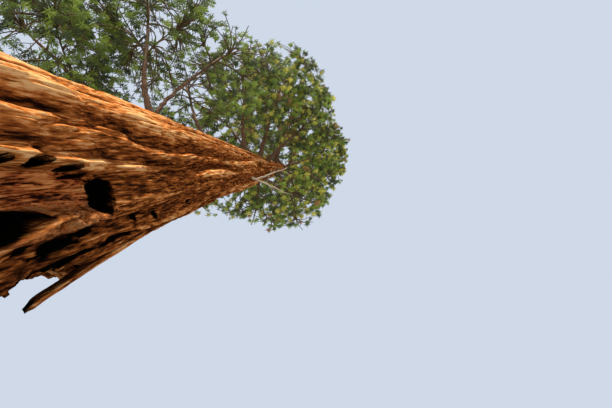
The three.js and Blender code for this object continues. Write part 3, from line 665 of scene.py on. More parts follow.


# The height field of the bark: radius, and 0 to 1 for ridge, whose lightness carries painted light and
# shade, for char with painted shade, and for weathered and bare wood.
def barkSkin(azimuth, height):
    turns = (azimuth / (2 * math.pi)) % 1
    turns = turns + layered("sway", turns, height)
    wobble, ragged, lumps = (layered(kind, turns, height) for kind in ("wobble", "ragged", "lumps"))
    girth = trunkRadius(height)

    # Plain bark with its folds. Beside the opening it is calm
    fromLeft, fromRight = (nearAngle(azimuth, atHeight(height, opening[key])) for key in ("left", "right"))
    within = np.minimum(fromLeft, -fromRight) * girth
    beside = bell(within, opening["calmHalf"]) * smoothStep(*opening["calmBelow"], height)
    calm = 1 - opening["calm"] * beside
    rough, furrow = ridgesAndFurrows(turns, height)
    rough *= calm
    ridge = np.clip(0.5 + 0.9 * rough / sum(layer[2] for layer in barkRelief["layers"]), 0, 1)
    ridge *= 1 - barkRelief["furrowDark"] * furrow
    shaded = smoothStep(*np.radians(shade["from"]), azimuth) * smoothStep(*np.radians(shade["to"]), azimuth)
    fold, charred, pale = foldsAt(azimuth, height, wobble)
    # Painted highlight on the folds that stand out, painted shade in the grooves, and painted shade on the
    # bark right of the scar
    ridge += np.where(fold > 0, *foldLook["paintedLightAndShade"]) * fold - shade["darker"] * shaded
    ridge = np.clip(ridge, 0, 1)
    full = np.clip(girth / barkRelief["fullGirth"], barkRelief["leastShare"], 1)
    stands = (rough * (1 - shade["smoother"] * shaded) - barkRelief["sunk"]) * full
    bark = skinRadius(azimuth, height) + stands + fold
    knobby = np.exp(inOval(azimuth, height, *knobs["oval"]) - 1)
    lighter = knobs["lighter"] * knobby * (0.6 + lumps)
    ridge = np.clip(ridge * (1 - knobs["smoother"] * knobby) + lighter, 0, 1)

    # The scar, whose back is flat and runs with the grain of the wood
    away = nearAngle(azimuth, scar["azimuth"])
    toRight = atHeight(height, scar["right"], -9) - away * girth - wobble
    toLeft = away * girth + wobble - atHeight(height, scar["left"], 9)
    onRight = toRight < toLeft
    inside = np.minimum(toRight, toLeft)
    inside += layered("jagged", turns, height) * smoothStep(*scar["jaggedAbove"], height)
    inside = np.where(np.abs(away) < scar["halfTurn"], inside, -9)
    rollWidth = mix(callus["width"], callus["topWidth"], smoothStep(*callus["narrows"], height))
    edgeWidth = np.where(onRight, rollWidth, scar["lipWidth"])
    wood = smoothStep(0, edgeWidth, inside)
    lipHigh, lipAway, lipHalf = scar["lip"]
    lip = lipHigh * bell(inside + lipAway, lipHalf) * (1 - wood)
    flat = (girth + 0.3 * flareAt(height) - atHeight(height, scar["depths"])) / np.cos(np.clip(away, -1, 1))
    back = flat + layered("grain", turns, height) * calm
    radius = mix(bark + lip, np.minimum(back, bark), wood)

    # Its rolled edge and the knobs
    rolled = onRight * bell(inside - 0.5 * edgeWidth, 0.6 * edgeWidth)
    rollPhase = 2 * math.pi * inside / callus["ridge"]
    radius += knobs["stands"] * knobby * lumps + callus["foldShare"] * np.maximum(fold, 0) * wood * onRight
    radius += callus["stands"] * rolled * np.cos(rollPhase + callus["bend"] * fold)

    # Hollows, the opening and scorched places
    for i, (turn, level, halfWide, halfTall, deep, black, uneven) in enumerate(burntPockets):
        q = inOval(azimuth, height, turn, level, halfWide, halfTall) + ragged * uneven
        mouth = float(skinRadius(np.radians(turn), level))
        floor = mouth - deep * np.sqrt(np.clip(q, 0, 1)) + 0.6 * rough
        radius = np.where(q > 0, np.minimum(radius, floor), radius)
        # Each hollow is painted black, as char and as shade inside it; the first only above its roof line,
        # on the roof that faces down
        black = black * smoothStep(-0.3, 0, q + 0.5 * ragged)
        if i == 0:
            atBack = mix(girth, np.minimum(flat, girth), wood) - hollowRoof["radius"]
            roof = hollowRoof["height"] - hollowRoof["slope"] * atBack
            black *= smoothStep(-hollowRoof["blend"], hollowRoof["blend"], height - roof)
        charred = np.maximum(charred, black)
    within = np.where(height < opening["left"][-1][0], within, -1) + opening["uneven"] * ragged
    aboveFoot = smoothStep(*opening["foot"], height)
    radius -= opening["deep"] * smoothStep(0, opening["wall"], within) * aboveFoot
    # The opening is painted black, as char and as shade inside it, from just outside its edge
    charred = np.maximum(charred, smoothStep(*opening["rim"], within) * aboveFoot)
    for oval in scorched:
        charred = np.maximum(charred, smoothStep(-0.2, 0.45, inOval(azimuth, height, *oval) + 2 * ragged))

    # Pale wood on the rolled edge, the folds, the knobs and the scar's edge
    rolls = callus["pale"] * rolled * (0.6 + 0.4 * np.cos(rollPhase))
    rolls *= smoothStep(*callus["paleBelow"], height)
    pale = np.maximum(rolls, pale) * smoothStep(0.15, 0.6, ridge)
    edge = np.clip(4 * wood * (1 - wood), 0, 1) * onRight
    pale = np.maximum(pale, knobs["pale"] * np.maximum(knobby, edge) * smoothStep(-0.3, 0.5, lumps))
    return radius, {"ridge": ridge, "charred": charred, "weathered": pale, "bareWood": wood**2}


# A closed mesh from a grid of points whose rows run round and close, with a cap at each end.
def closedGrid(name, points, marks):
    rows, columns = points.shape[:2]
    index = np.arange(rows * columns).reshape(rows, columns)
    around = np.roll(index, -1, axis=1)
    quads = np.stack((index[:-1], around[:-1], around[1:], index[1:]), axis=-1).reshape(-1, 4)
    bottom = np.stack((around[0], index[0], np.full(columns, rows * columns)), axis=-1)
    top = np.stack((index[-1], around[-1], np.full(columns, rows * columns + 1)), axis=-1)
    corners = np.concatenate((points.reshape(-1, 3), points[0].mean(0)[None], points[-1].mean(0)[None]))
    mesh = bpy.data.meshes.new(name)
    mesh.from_pydata(corners, [], [*quads.tolist(), *bottom.tolist(), *top.tolist()])
    for key, values in marks.items():
        attribute = mesh.attributes.new(key, "FLOAT", "POINT")
        ends = (float(values[0].mean()), float(values[-1].mean()))
        attribute.data.foreach_set("value", np.append(values.ravel(), ends).astype(np.float32))
    smooth = np.ones(len(mesh.polygons), bool)
    smooth[-2 * columns :] = False
    mesh.polygons.foreach_set("use_smooth", smooth)
    mesh.validate()
    return objectOf(name, mesh)


trunkMesh = {
    "columns": 560,
    "frontShare": 1.6,  # how much closer the columns stand on the side that the photo shows
    "front": -85,
    "frontWidth": 70,
    "parts": {  # from one height to another, in so many rows
        "foot": (0, 2.9, 60),
        "low": (2.9, 5.1, 168),
        "middle": (5.1, 9.6, 168),
        "high": (9.6, 37.5, 168),
    },
    "crowding": 1.15,  # above 1 the rows of the last part crowd towards its lower end
}


# Azimuths round the trunk, closer together on the side that the photo shows.
def columnAngles():
    angles = np.linspace(-math.pi, math.pi, 2001)
    front = nearAngle(angles, trunkMesh["front"])
    crowding = 1 + trunkMesh["frontShare"] * bell(front, math.radians(trunkMesh["frontWidth"]))
    run = np.concatenate(([0], np.cumsum((crowding[1:] + crowding[:-1]) / 2)))
    return np.interp(np.arange(trunkMesh["columns"]) / trunkMesh["columns"], run / run[-1], angles)


def trunkPiece(name, heights):
    azimuth, height = np.meshgrid(columnAngles(), heights)
    radius, marks = barkSkin(azimuth, height)
    x = radius * np.cos(azimuth) + leanAt(height)
    points = np.stack((x, radius * np.sin(azimuth), height), axis=-1)
    return closedGrid(name, points, marks)


trunkPieces = []
for name, (low, high, rows) in trunkMesh["parts"].items():
    power = trunkMesh["crowding"] if high == trunk["top"] else 1
    heights = low + (high - low) * np.linspace(0, 1, rows) ** power
    trunkPieces.append(trunkPiece(f"trunk_{name}", heights))
print(f"trunk: {sum(len(piece.data.polygons) for piece in trunkPieces) * 2} triangles")


# The slab of bark that hangs over the burnt-out flank, and a splinter of it beside the trunk: their
# azimuth and thickness, and at the tip and the top the height, the width and how far they stand out
slabs = {
    "bark_slab": {
        "azimuth": -22,
        "thickness": 0.1,
        "height": (4.54, 6.9),
        "width": (0.05, 0.52),
        "stands": (0.095, -0.075),
    },
    "bark_splinter": {
        "azimuth": -41,
        "thickness": 0.05,
        "height": (4.62, 6.0),
        "width": (0.02, 0.2),
        "stands": (-0.06, -0.15),
    },
}
slabLook = {"rows": 120, "columns": 56, "square": 0.6, "tip": 0.07, "sway": 0.03, "swayTurns": 2.3}


def slabPiece(name, look):
    turn = np.linspace(0, 2 * math.pi, slabLook["columns"], endpoint=False)
    along, turn = np.meshgrid(np.linspace(0, 1, slabLook["rows"]), turn, indexing="ij")
    height = mix(*look["height"], along)
    worn = 0.5 + 0.5 * smoothStep(0, slabLook["tip"], along)
    waves = (np.cos(turn), np.sin(turn))
    outwards, sideways = (np.sign(wave) * np.abs(wave) ** slabLook["square"] for wave in waves)
    grain = look["thickness"] * layered("slabGrain", turn / (2 * math.pi), height)
    out = outwards * (look["thickness"] / 2 * worn + grain)
    aside = sideways * (mix(*look["width"], along) * worn / 2 + grain)
    aside += slabLook["sway"] * np.sin(height * slabLook["swayTurns"])
    middle = trunkRadius(height) + mix(*look["stands"], along**0.8) + out
    azimuth = math.radians(look["azimuth"])
    x = middle * math.cos(azimuth) - aside * math.sin(azimuth) + leanAt(height)
    y = middle * math.sin(azimuth) + aside * math.cos(azimuth)
    ridge = np.clip(0.4 + 2.6 * grain / look["thickness"], 0, 1)
    # Black on the face that turns to the trunk, as char and as painted shade between slab and trunk, and at
    # the tip
    charred = 0.8 * (outwards < -0.2) + 0.9 * smoothStep(0.06, 0, along)
    marks = {"ridge": ridge, "charred": np.clip(charred, 0, 1)}
    marks.update({key: np.zeros_like(height) for key in ("weathered", "bareWood")})
    return closedGrid(name, np.stack((x, y, height), axis=-1), marks)


hangingSlabs = [slabPiece(name, look) for name, look in slabs.items()]

# Boughs and twigs: every limb is a line of points with radii, made round by Geometry Nodes
growth = {
    "limbSteps": 22,
    "stemSteps": 7,
    "stemEnd": 0.034,  # its radius
    "uneven": 0.05,
    "collar": 0.5,
    "second": 28,  # finer twigs for each square metre that a mass shows, about
    "openSecond": 32,
    "apart": 0.35,  # the least that a finer twig may be long
    "gap": 0.14,  # metres from one spray to the next along a twig
    "leafy": 1.1,  # the most metres of a twig that bear sprays, and the most of its length
    "leafyShare": 0.7,
    "reachLow": 0.45,  # where the finer twigs end, as a share of the way out
    "reachMore": 0.42,
    "openReachMore": 0.52,
    "stalk": 0.14,
    "stalkMore": 0.26,
    "spraySize": 0.4,
    "openSpraySize": 0.36,
    "spraySizeMore": 0.14,
    "leastSpray": 0.17,
    # painted shade: below 1 the open masses, low under the crown, take more of the darker tones
    "openTone": 0.75,  # below 1 the open masses are darker
    "innerTwigs": 9,
    "innerLeast": 0.4,
    "innerMost": 0.8,
    "innerFrom": 9,  # of 20 steps along a bough
    "innerTrunk": (34.5, 38, 9),
    "overWall": 0.45,  # metres that sprays reach past the wall between two masses
    "overBox": 0.22,  # and past the box of the solids
    "bladeReach": 1.2,  # how far a spray's blades reach from its root, for each metre of its size
    "limbGap": 0.1,
    "twigGap": 0.03,
    "innerGap": 0.05,
    "stemFrom": 0.35,
    "firstFrom": (0.12, 0.88),
    "firstBend": (0.3, 0.2),  # along the bough, and towards the twig's end
    "secondBend": (0.35, 0.06, 0.15),  # and upwards between the two
    "innerLean": 0.45,
    "innerLift": 0.2,
    "spread": (0.9, 1.4),
    "ahead": 0.6,
    "lift": 0.14,
    "lookUp": 0.3,
    "endStalk": 0.05,
}
# The radii of a twig at its root and its end
twigRadii = {
    "first": (0.04, 0.02),
    "second": (0.024, 0.011),
    "inner": (0.02, 0.011),
    "stalk": (0.008, 0.006),
}
limbs = {"boughs": [], "twigs": {}}
sprays = {}  # for each mass, (point, size, tone)


# A twig as its line and its radii.
def twigOf(kind, line):
    return line, mix(*twigRadii[kind], np.linspace(0, 1, len(line)))


# Bones are the straight parts of limbs: starts, ends and radii, for keeping sprays off them.
def bonesOf(points, radii):
    return np.concatenate((points[:-1], points[1:], radii[:-1, None]), axis=1)


def clearOf(bones, points, more):
    start, end, radius = bones[:, 0:3], bones[:, 3:6], bones[:, 6]
    line = end - start
    for point in points:
        t = np.clip(((point - start) * line).sum(1) / (line**2).sum(1), 0, 1)
        if np.any(np.linalg.norm(start + line * t[:, None] - point, axis=1) <= radius + more):
            return False
    return True


# A bough runs on into its mass as the stem, so both are one line.
def boughLine(bough):
    stemEnd = bough["centre"] + bough["heading"] * bough["stemPast"] * mass["along"] * bough["reach"]
    steps = growth["limbSteps"]
    if "root" in bough:
        main = sampled(bough["root"], bough["elbow"], bough["tip"], steps)
        share = np.linspace(0, 1, steps + 1) ** 0.55
        collar = growth["collar"] * bough["rootRadius"] * np.exp(-np.linspace(0, 14, steps + 1))
        radii = mix(bough["rootRadius"], bough["tipRadius"], share) + collar
    else:
        main = bough["tip"][None] - upward * 0.3
        radii = np.array([bough["tipRadius"]])
    shares = np.linspace(0, 1, growth["stemSteps"] + 1)[1:]
    points = np.concatenate((main, [mix(bough["tip"], stemEnd, share) for share in shares]))
    radii = np.concatenate((radii, mix(bough["tipRadius"], growth["stemEnd"], shares)))
    side = levelSide(bough["heading"])
    for i in range(2, len(points) - 1):  # a limb never grows quite straight
        points[i] += side * growth["uneven"] * (chance(i, bough["reach"]) - 0.5)
        points[i] += upward * growth["uneven"] * (chance(i, bough["reach"], 2) - 0.5)
    return points, radii, stemEnd


def growMass(index, carrier, space, stemEnd, bones):
    start, heading = carrier["tip"], carrier["heading"]
    dense = carrier["dense"]
    turn = 2 * math.pi * chance(index, 7)
    twigs, out = [], []
    firstCount = mass["twigs"] if dense else mass["openTwigs"]
    carrying = [(mix(start, stemEnd, s), heading) for s in np.linspace(growth["stemFrom"], 1, 8)]

    def turned(k, count):
        lean, right, over = ballPoint(k, count)
        across = right * math.cos(turn) - over * math.sin(turn)
        along = right * math.sin(turn) + over * math.cos(turn)
        return lean, unit((np.array((lean, across, along)) * space["half"]) @ space["axes"])

    for k in range(firstCount):
        lean, towards = turned(k, firstCount)
        end = space["centre"] + towards * mass["twigEnd"] * wayOut(space, space["centre"], towards)
        root = mix(start, stemEnd, mix(*growth["firstFrom"], (lean + 1) / 2))
        onward, aside = growth["firstBend"]
        control = root + heading * onward * np.linalg.norm(end - root) + (end - root) * aside
        line = sampled(root, control, end, 6)
        if clearOf(bones, line[2:], growth["twigGap"]):
            twigs.append(twigOf("first", line))
            growSprays(index, 300 + k, line, space, bones, dense, twigs, out)
            carrying += [(line[i], unit(line[i] - line[i - 1])) for i in range(2, 7)]

    # Finer twigs, each from the nearest place on a first twig or the stem
    places = np.array([point for point, _ in carrying])
    often = growth["second"] if dense else growth["openSecond"]
    more = growth["reachMore"] if dense else growth["openReachMore"]
    secondCount = int(often * float(np.prod(space["half"])) ** (2 / 3))
    for j in range(secondCount):
        _, towards = turned(j, secondCount)
        share = growth["reachLow"] + more * math.sqrt(chance(index, j, 5))
        end = space["centre"] + towards * share * wayOut(space, space["centre"], towards)
        gaps = np.linalg.norm(places - end, axis=1)
        gaps[gaps < growth["apart"]] = 9
        nearest = int(np.argmin(gaps))
        root, along = places[nearest], carrying[nearest][1]
        length = float(gaps[nearest])
        onward, rise, aside = growth["secondBend"]
        control = root + along * onward * length + upward * rise * length + (end - root) * aside
        line = sampled(root, control, end, 5)
        if roomAt(end) < 0 or beyondEdge(end, chance(index, j, 15)):
            continue
        if not clearOf(bones, line[2:], growth["twigGap"]):
            continue
        if growSprays(index, j, line, space, bones, dense, twigs, out):
            twigs.append(twigOf("second", line))

    # Tufts on the bough itself, between the trunk and a dense mass
    bare = innerPart(carrier)
    for k in range(growth["innerTwigs"] if dense else 0):
        at = k / (growth["innerTwigs"] - 1) * (len(bare) - 2)
        low = int(at)
        root = mix(bare[low], bare[low + 1], at - low)
        axis = unit(bare[low + 1] - bare[low])
        side = levelSide(axis)
        spin = goldenAngle * k + 6.28 * chance(index, 17)
        aside = side * math.cos(spin) + np.cross(side, axis) * math.sin(spin)
        length = mix(growth["innerLeast"], growth["innerMost"], chance(index, k, 21))
        end = root + unit(aside + axis * growth["innerLean"] + upward * growth["innerLift"]) * length
        line = sampled(root, mix(root, end, 0.5) + axis * 0.1, end, 5)
        if not clearOf(bones, line[3:], growth["innerGap"]):
            continue
        if growSprays(index, 200 + k, line, None, bones, dense, twigs, out):
            twigs.append(twigOf("inner", line))
    return twigs, out


# The outer part of a bough short of its mass, or the last metres of the trunk.
def innerPart(carrier):
    if "root" not in carrier:
        return np.array([polar(0, 0, z) for z in np.linspace(*growth["innerTrunk"])])
    line = sampled(carrier["root"], carrier["elbow"], carrier["tip"], 20)
    return line[growth["innerFrom"] :]


# The crown's edge as it shows from where the photo was taken: how far out of the vertical line
# through that place it lies, for each turn in degrees. From 90 to 140 degrees the masses run out of
# the picture, so nothing is cut there
crownEdge = {
    "lowest": 13,
    "ragged": (0.9, 0.14),
    "edge": [(8, 0.087), (25, 0.146), (32, 0.173), (42, 0.21), (52, 0.229), (58, 0.247), (65, 0.275)]
    + [(69, 0.33), (75, 0.38), (82, 0.55), (90, 9), (140, 9), (149, 0.5), (151, 0.42), (156, 0.355)]
    + [(165, 0.332), (170, 0.287), (174, 0.247), (178, 0.204), (182, 0.167), (183, 0.13), (198, 0.085)]
    + [(231, 0.07), (270, 0.054), (326, 0.065)],
}


def beyondEdge(point, uneven):
    x, y, z = point - np.array(photoPlace)
    least, more = crownEdge["ragged"]
    edge = np.interp(math.degrees(math.atan2(y, x)) % 360, *zip(*crownEdge["edge"]), period=360)
    return point[2] > crownEdge["lowest"] and math.hypot(x, y) / z > edge * (least + more * uneven)


# Where the photo shows the foliage at its most open: x and y for each metre up from its place, how
# wide, and the share of sprays that stays
clearings = [
    (-0.22, 0.335, 0.04, 0.15),
    (-0.363, 0.408, 0.05, 0.3),
    (-0.231, 0.471, 0.036, 0.15),
    (-0.3, 0.39, 0.11, 0.34),
]
# Thinner places all through the crown, as waves along x, y and z
thinWaves = {"x": 2.3, "y": 2.6, "z": 1.7, "byX": 0.7, "byY": -0.5, "above": 0.33}
# Small specks of light between the sprays, in a wavering grid as seen from that place. There are
# fewer near the point overhead and in the masses that hang over the camera
lightSpecks = {
    "often": 112,
    "waver": 38,
    "swing": 2.6,
    "above": 0.3,
    "stays": 0.1,
    "fewer": 0.4,
    "within": 0.13,
    "far": 0.56,
}


def isOpen(point, draw):
    away = point - np.array(photoPlace)
    u, v = away[0] / away[2], away[1] / away[2]
    for alongX, alongY, radius, share in clearings:
        if math.hypot(u - alongX, v - alongY) < radius:
            return draw > share
    often, waver, swing = lightSpecks["often"], lightSpecks["waver"], lightSpecks["swing"]
    across = math.sin(often * u + swing * math.sin(waver * v))
    along = math.sin(often * v + swing * math.sin(waver * u + 1))
    fewer = math.exp(-(u * u + v * v) / lightSpecks["within"] ** 2) + (v > lightSpecks["far"])
    if across * along > lightSpecks["above"] + lightSpecks["fewer"] * fewer:
        return draw > lightSpecks["stays"]
    x, y, z = point
    wave = math.sin(thinWaves["x"] * x + thinWaves["byX"] * z)
    wave *= math.sin(thinWaves["y"] * y + thinWaves["byY"] * z)
    return wave * math.sin(thinWaves["z"] * z + x) > thinWaves["above"]


# How far a point lies inside the nearest side of the solids' box.
def roomAt(point):
    return float(min(np.min(cadBox[1] - point), np.min((point - cadBox[0])[:2])))


# Sprays stand round the outer part of a fine twig, each on a short stalk, and one at its end.
# Gives back how many there are.
def growSprays(index, j, line, space, bones, dense, twigs, out):
    axis = unit(line[-1] - line[-2])
    side = levelSide(axis)
    across = np.cross(side, axis)
    past = growth["overWall"]
    toneBias = chance(index, j, 9)
    length = float(np.linalg.norm(np.diff(line, axis=0), axis=1).sum())
    count = 1 + int(min(length * growth["leafyShare"], growth["leafy"]) / growth["gap"])
    borne = len(out)
    for s in range(count):
        spin = goldenAngle * s + 6.28 * chance(index, j, 3)
        aside = side * math.cos(spin) + across * math.sin(spin)
        at = (1 - s * growth["gap"] / length) * (len(line) - 1)
        low = min(int(at), len(line) - 2)
        root = mix(line[low], line[low + 1], at - low)
        spread = 0.0 if s == 0 else mix(*growth["spread"], chance(index, j, 20 + s))
        direction = unit(axis * growth["ahead"] + aside * spread + upward * growth["lift"])
        stalk = growth["stalk"] + growth["stalkMore"] * chance(index, j, 40 + s)
        end = root + direction * (growth["endStalk"] if s == 0 else stalk)
        heading = unit(direction + upward * growth["lookUp"])
        size = growth["spraySize"] if dense else growth["openSpraySize"]
        size += growth["spraySizeMore"] * (chance(index, j, 60 + s) - 0.5)
        size = min(size, (roomAt(end) + growth["overBox"]) / growth["bladeReach"])
        if space:
            size = min(size, wayOut(space, end, heading, past)) if inSpace(space, end, past) else 0
        if beyondEdge(end, chance(index, j, 15)) or isOpen(end, chance(index, j, 60 + s)):
            continue
        if size < growth["leastSpray"] or (space and not inSpace(space, end + heading * size * 0.98, past)):
            continue
        if not clearOf(bones, [end + heading * size / 2], growth["limbGap"]):
            continue
        if s > 0:
            twigs.append(twigOf("stalk", np.array((root, end))))
        tone = toneBias if chance(index, j, 100 + s) < 0.5 else chance(index, j, 80 + s)
        out.append((end, size, tone * (1 if dense else growth["openTone"])))
    return len(out) - borne


stemEnds = []
for bough in carriers:
    points, radii, stemEnd = boughLine(bough)
    limbs["boughs"].append((points, radii))
    stemEnds.append(stemEnd)
crownTrunk = np.array([polar(0, 0, z) for z in np.linspace(9, 37.4, 24)])
trunkBones = bonesOf(crownTrunk, trunkRadius(crownTrunk[:, 2]) * 1.05)
boughBones = [bonesOf(points[::2], radii[::2]) for points, radii in limbs["boughs"]]
for index, carrier in enumerate(carriers):
    others = boughBones[:index] + boughBones[index + 1 :]
    bones = np.concatenate((trunkBones, *others))
    twigs, out = growMass(index, carrier, spaces[index], stemEnds[index], bones)
    limbs["twigs"][index] = twigs
    sprays[index] = out
print(f"growth: {sum(map(len, sprays.values()))} sprays on {sum(map(len, limbs['twigs'].values()))} twigs")


# The dead limb that crosses the trunk under the crown: a stalk that forks, with bare side twigs
deadLimb = {
    "height": 15.15,
    "azimuth": math.radians(-66),
    "radii": (0.056, 0.04, 0.009),
    "fork": (0.265, -0.885, 15.23),
    "tips": ((-0.097, -1.895, 15.85), (0.8, -1.84, 15.5)),
    "bend": (-0.11, 0.02),  # how far the middle of each branch lies above the straight line
    "uneven": 0.03,
    "twigs": 9,
    "twigLength": (0.2, 0.42),
    "twigRadii": (0.011, 0.004),
}


def strayVector(i, k, first):
    return np.array([chance(i, k, first + axis) - 0.5 for axis in range(3)])


def deadLimbLines():
    azimuth, height = deadLimb["azimuth"], deadLimb["height"]
    rootRadius, forkRadius, tipRadius = deadLimb["radii"]
    root = polar(azimuth, float(trunkRadius(height)) * 0.7, height)
    fork = np.array(deadLimb["fork"])
    stalk = sampled(root, mix(root, fork, 0.5) + upward * 0.03, fork, 8)
    lines = [(stalk, np.linspace(rootRadius, forkRadius, 9))]
    for i, (tip, bend) in enumerate(zip(deadLimb["tips"], deadLimb["bend"])):
        end = np.array(tip)
        start = mix(fork, root, 0.12)
        line = sampled(start, mix(start, end, 0.5) + upward * bend, end, 12)
        for k in range(2, 12):
            line[k] += deadLimb["uneven"] * strayVector(i, k, 1)
        lines.append((line, np.linspace(forkRadius * 0.85, tipRadius, 13)))
        for k in range(deadLimb["twigs"]):
            at = line[3 + k]
            ahead = unit(line[min(12, 4 + k)] - line[2 + k])
            towards = unit(ahead * 0.7 + unit(strayVector(i, k, 4)) * 0.8)
            size = mix(*deadLimb["twigLength"], chance(i, k, 8))
            twig = sampled(at, at + ahead * size * 0.4, at + towards * size, 4)
            lines.append((twig, np.linspace(*deadLimb["twigRadii"], 5)))
    return lines


# A Geometry Nodes tree with these inputs beside its geometry.
def newTree(name, sockets):
    tree = bpy.data.node_groups.new(name, "GeometryNodeTree")
    tree.interface.new_socket(name="Geometry", in_out="INPUT", socket_type="NodeSocketGeometry")
    for socketName, kind in sockets.items():
        tree.interface.new_socket(name=socketName, in_out="INPUT", socket_type=f"NodeSocket{kind}")
    tree.interface.new_socket(name="Geometry", in_out="OUTPUT", socket_type="NodeSocketGeometry")
    return tree, addNode(tree, "NodeGroupInput").outputs


# Runs a tree on an object, and gives back a plain mesh object in its place.
def grown(source, tree, inputs, name):
    modifier = source.modifiers.new("grow", "NODES")
    modifier.node_group = tree
    for item in tree.interface.items_tree:
        if item.item_type == "SOCKET" and item.in_out == "INPUT" and item.name in inputs:
            modifier[item.identifier] = inputs[item.name]
    graph = bpy.context.evaluated_depsgraph_get()
    mesh = bpy.data.meshes.new_from_object(source.evaluated_get(graph), depsgraph=graph)
    mesh.name = name
    source.modifiers.clear()
    bpy.data.objects.remove(source)
    return objectOf(name, mesh)


# Sweeps a circle along every line, and roughens it as bark does.
def limbTree():
    sockets = {"Sides": "Int", "Relief": "Float", "Grain": "Float", "Seed": "Float", "Material": "Material"}
    tree, given = newTree("taperedLimbs", sockets)
    sides = {"Resolution": given["Sides"]}
    circle = addNode(tree, "GeometryNodeCurvePrimitiveCircle", {"Radius": 1.0}, sides)
    radius = addNode(tree, "GeometryNodeInputRadius")
    lines = {"Curve": given["Geometry"], "Profile Curve": circle, "Scale": radius}
    sweep = addNode(tree, "GeometryNodeCurveToMesh", {"Fill Caps": True}, lines)
    place = addNode(tree, "GeometryNodeInputPosition")
    sampling = {"Vector": place, "Scale": given["Grain"], "W": given["Seed"]}
    rough = addNode(tree, "ShaderNodeTexNoise", {"noise_dimensions": "4D", "Detail": 2.0}, sampling)
    centred = addNode(tree, "ShaderNodeMath", {"operation": "SUBTRACT", 1: 0.5}, {0: rough})
    depth = addNode(tree, "ShaderNodeMath", {"operation": "MULTIPLY"}, {0: centred, 1: given["Relief"]})
    normal = addNode(tree, "GeometryNodeInputNormal")
    offset = addNode(tree, "ShaderNodeVectorMath", {"operation": "SCALE"}, {0: normal, "Scale": depth})
    moved = addNode(tree, "GeometryNodeSetPosition", {}, {"Geometry": sweep, "Offset": offset})
    smooth = addNode(tree, "GeometryNodeSetShadeSmooth", {}, {"Geometry": moved})
    real = addNode(tree, "GeometryNodeRealizeInstances", {}, {"Geometry": smooth})
    painted = addNode(tree, "GeometryNodeSetMaterial", {}, {"Geometry": real, "Material": given["Material"]})
    addNode(tree, "NodeGroupOutput", {}, {"Geometry": painted})
    return tree


def curveObject(name, lines):
    curve = bpy.data.curves.new(name, "CURVE")
    curve.dimensions = "3D"
    for points, radii in lines:
        spline = curve.splines.new("POLY")
        spline.points.add(len(points) - 1)
        spline.points.foreach_set("co", np.column_stack((points, np.ones(len(points)))).ravel())
        spline.points.foreach_set("radius", np.asarray(radii, float))
    return objectOf(name, curve)


# A spray of needles is a short axis with blades standing round it. Lengths are for a spray of size
# 1, and leans are in radians from the axis
sprayLook = {
    "Blades": 24,
    "Axis": 0.62,
    "Blade length": 0.5,
    "Lowest lean": 0.1,
    "Highest lean": 1.15,
    "Seed": 4,
    "kinds": 3,
    "strayLean": 0.4,
    "sizes": (0.5, 1.2),
    "endSize": 0.62,
}
# A blade is a cluster of needles, folded along its middle: root, two raised shoulders and the tip
needleBlade = {"shoulder": 0.42, "halfWidth": 0.105, "fold": 0.05}


def bladeObject():
    shoulder, half, fold = (needleBlade[key] for key in ("shoulder", "halfWidth", "fold"))
    corners = [(0, 0, 0), (-half, shoulder, fold), (half, shoulder, fold), (0, 1, 0)]
    mesh = bpy.data.meshes.new("needle_blade")
    mesh.from_pydata(corners, [], [(0, 2, 3), (0, 3, 1)])
    return objectOf("needle_blade", mesh)


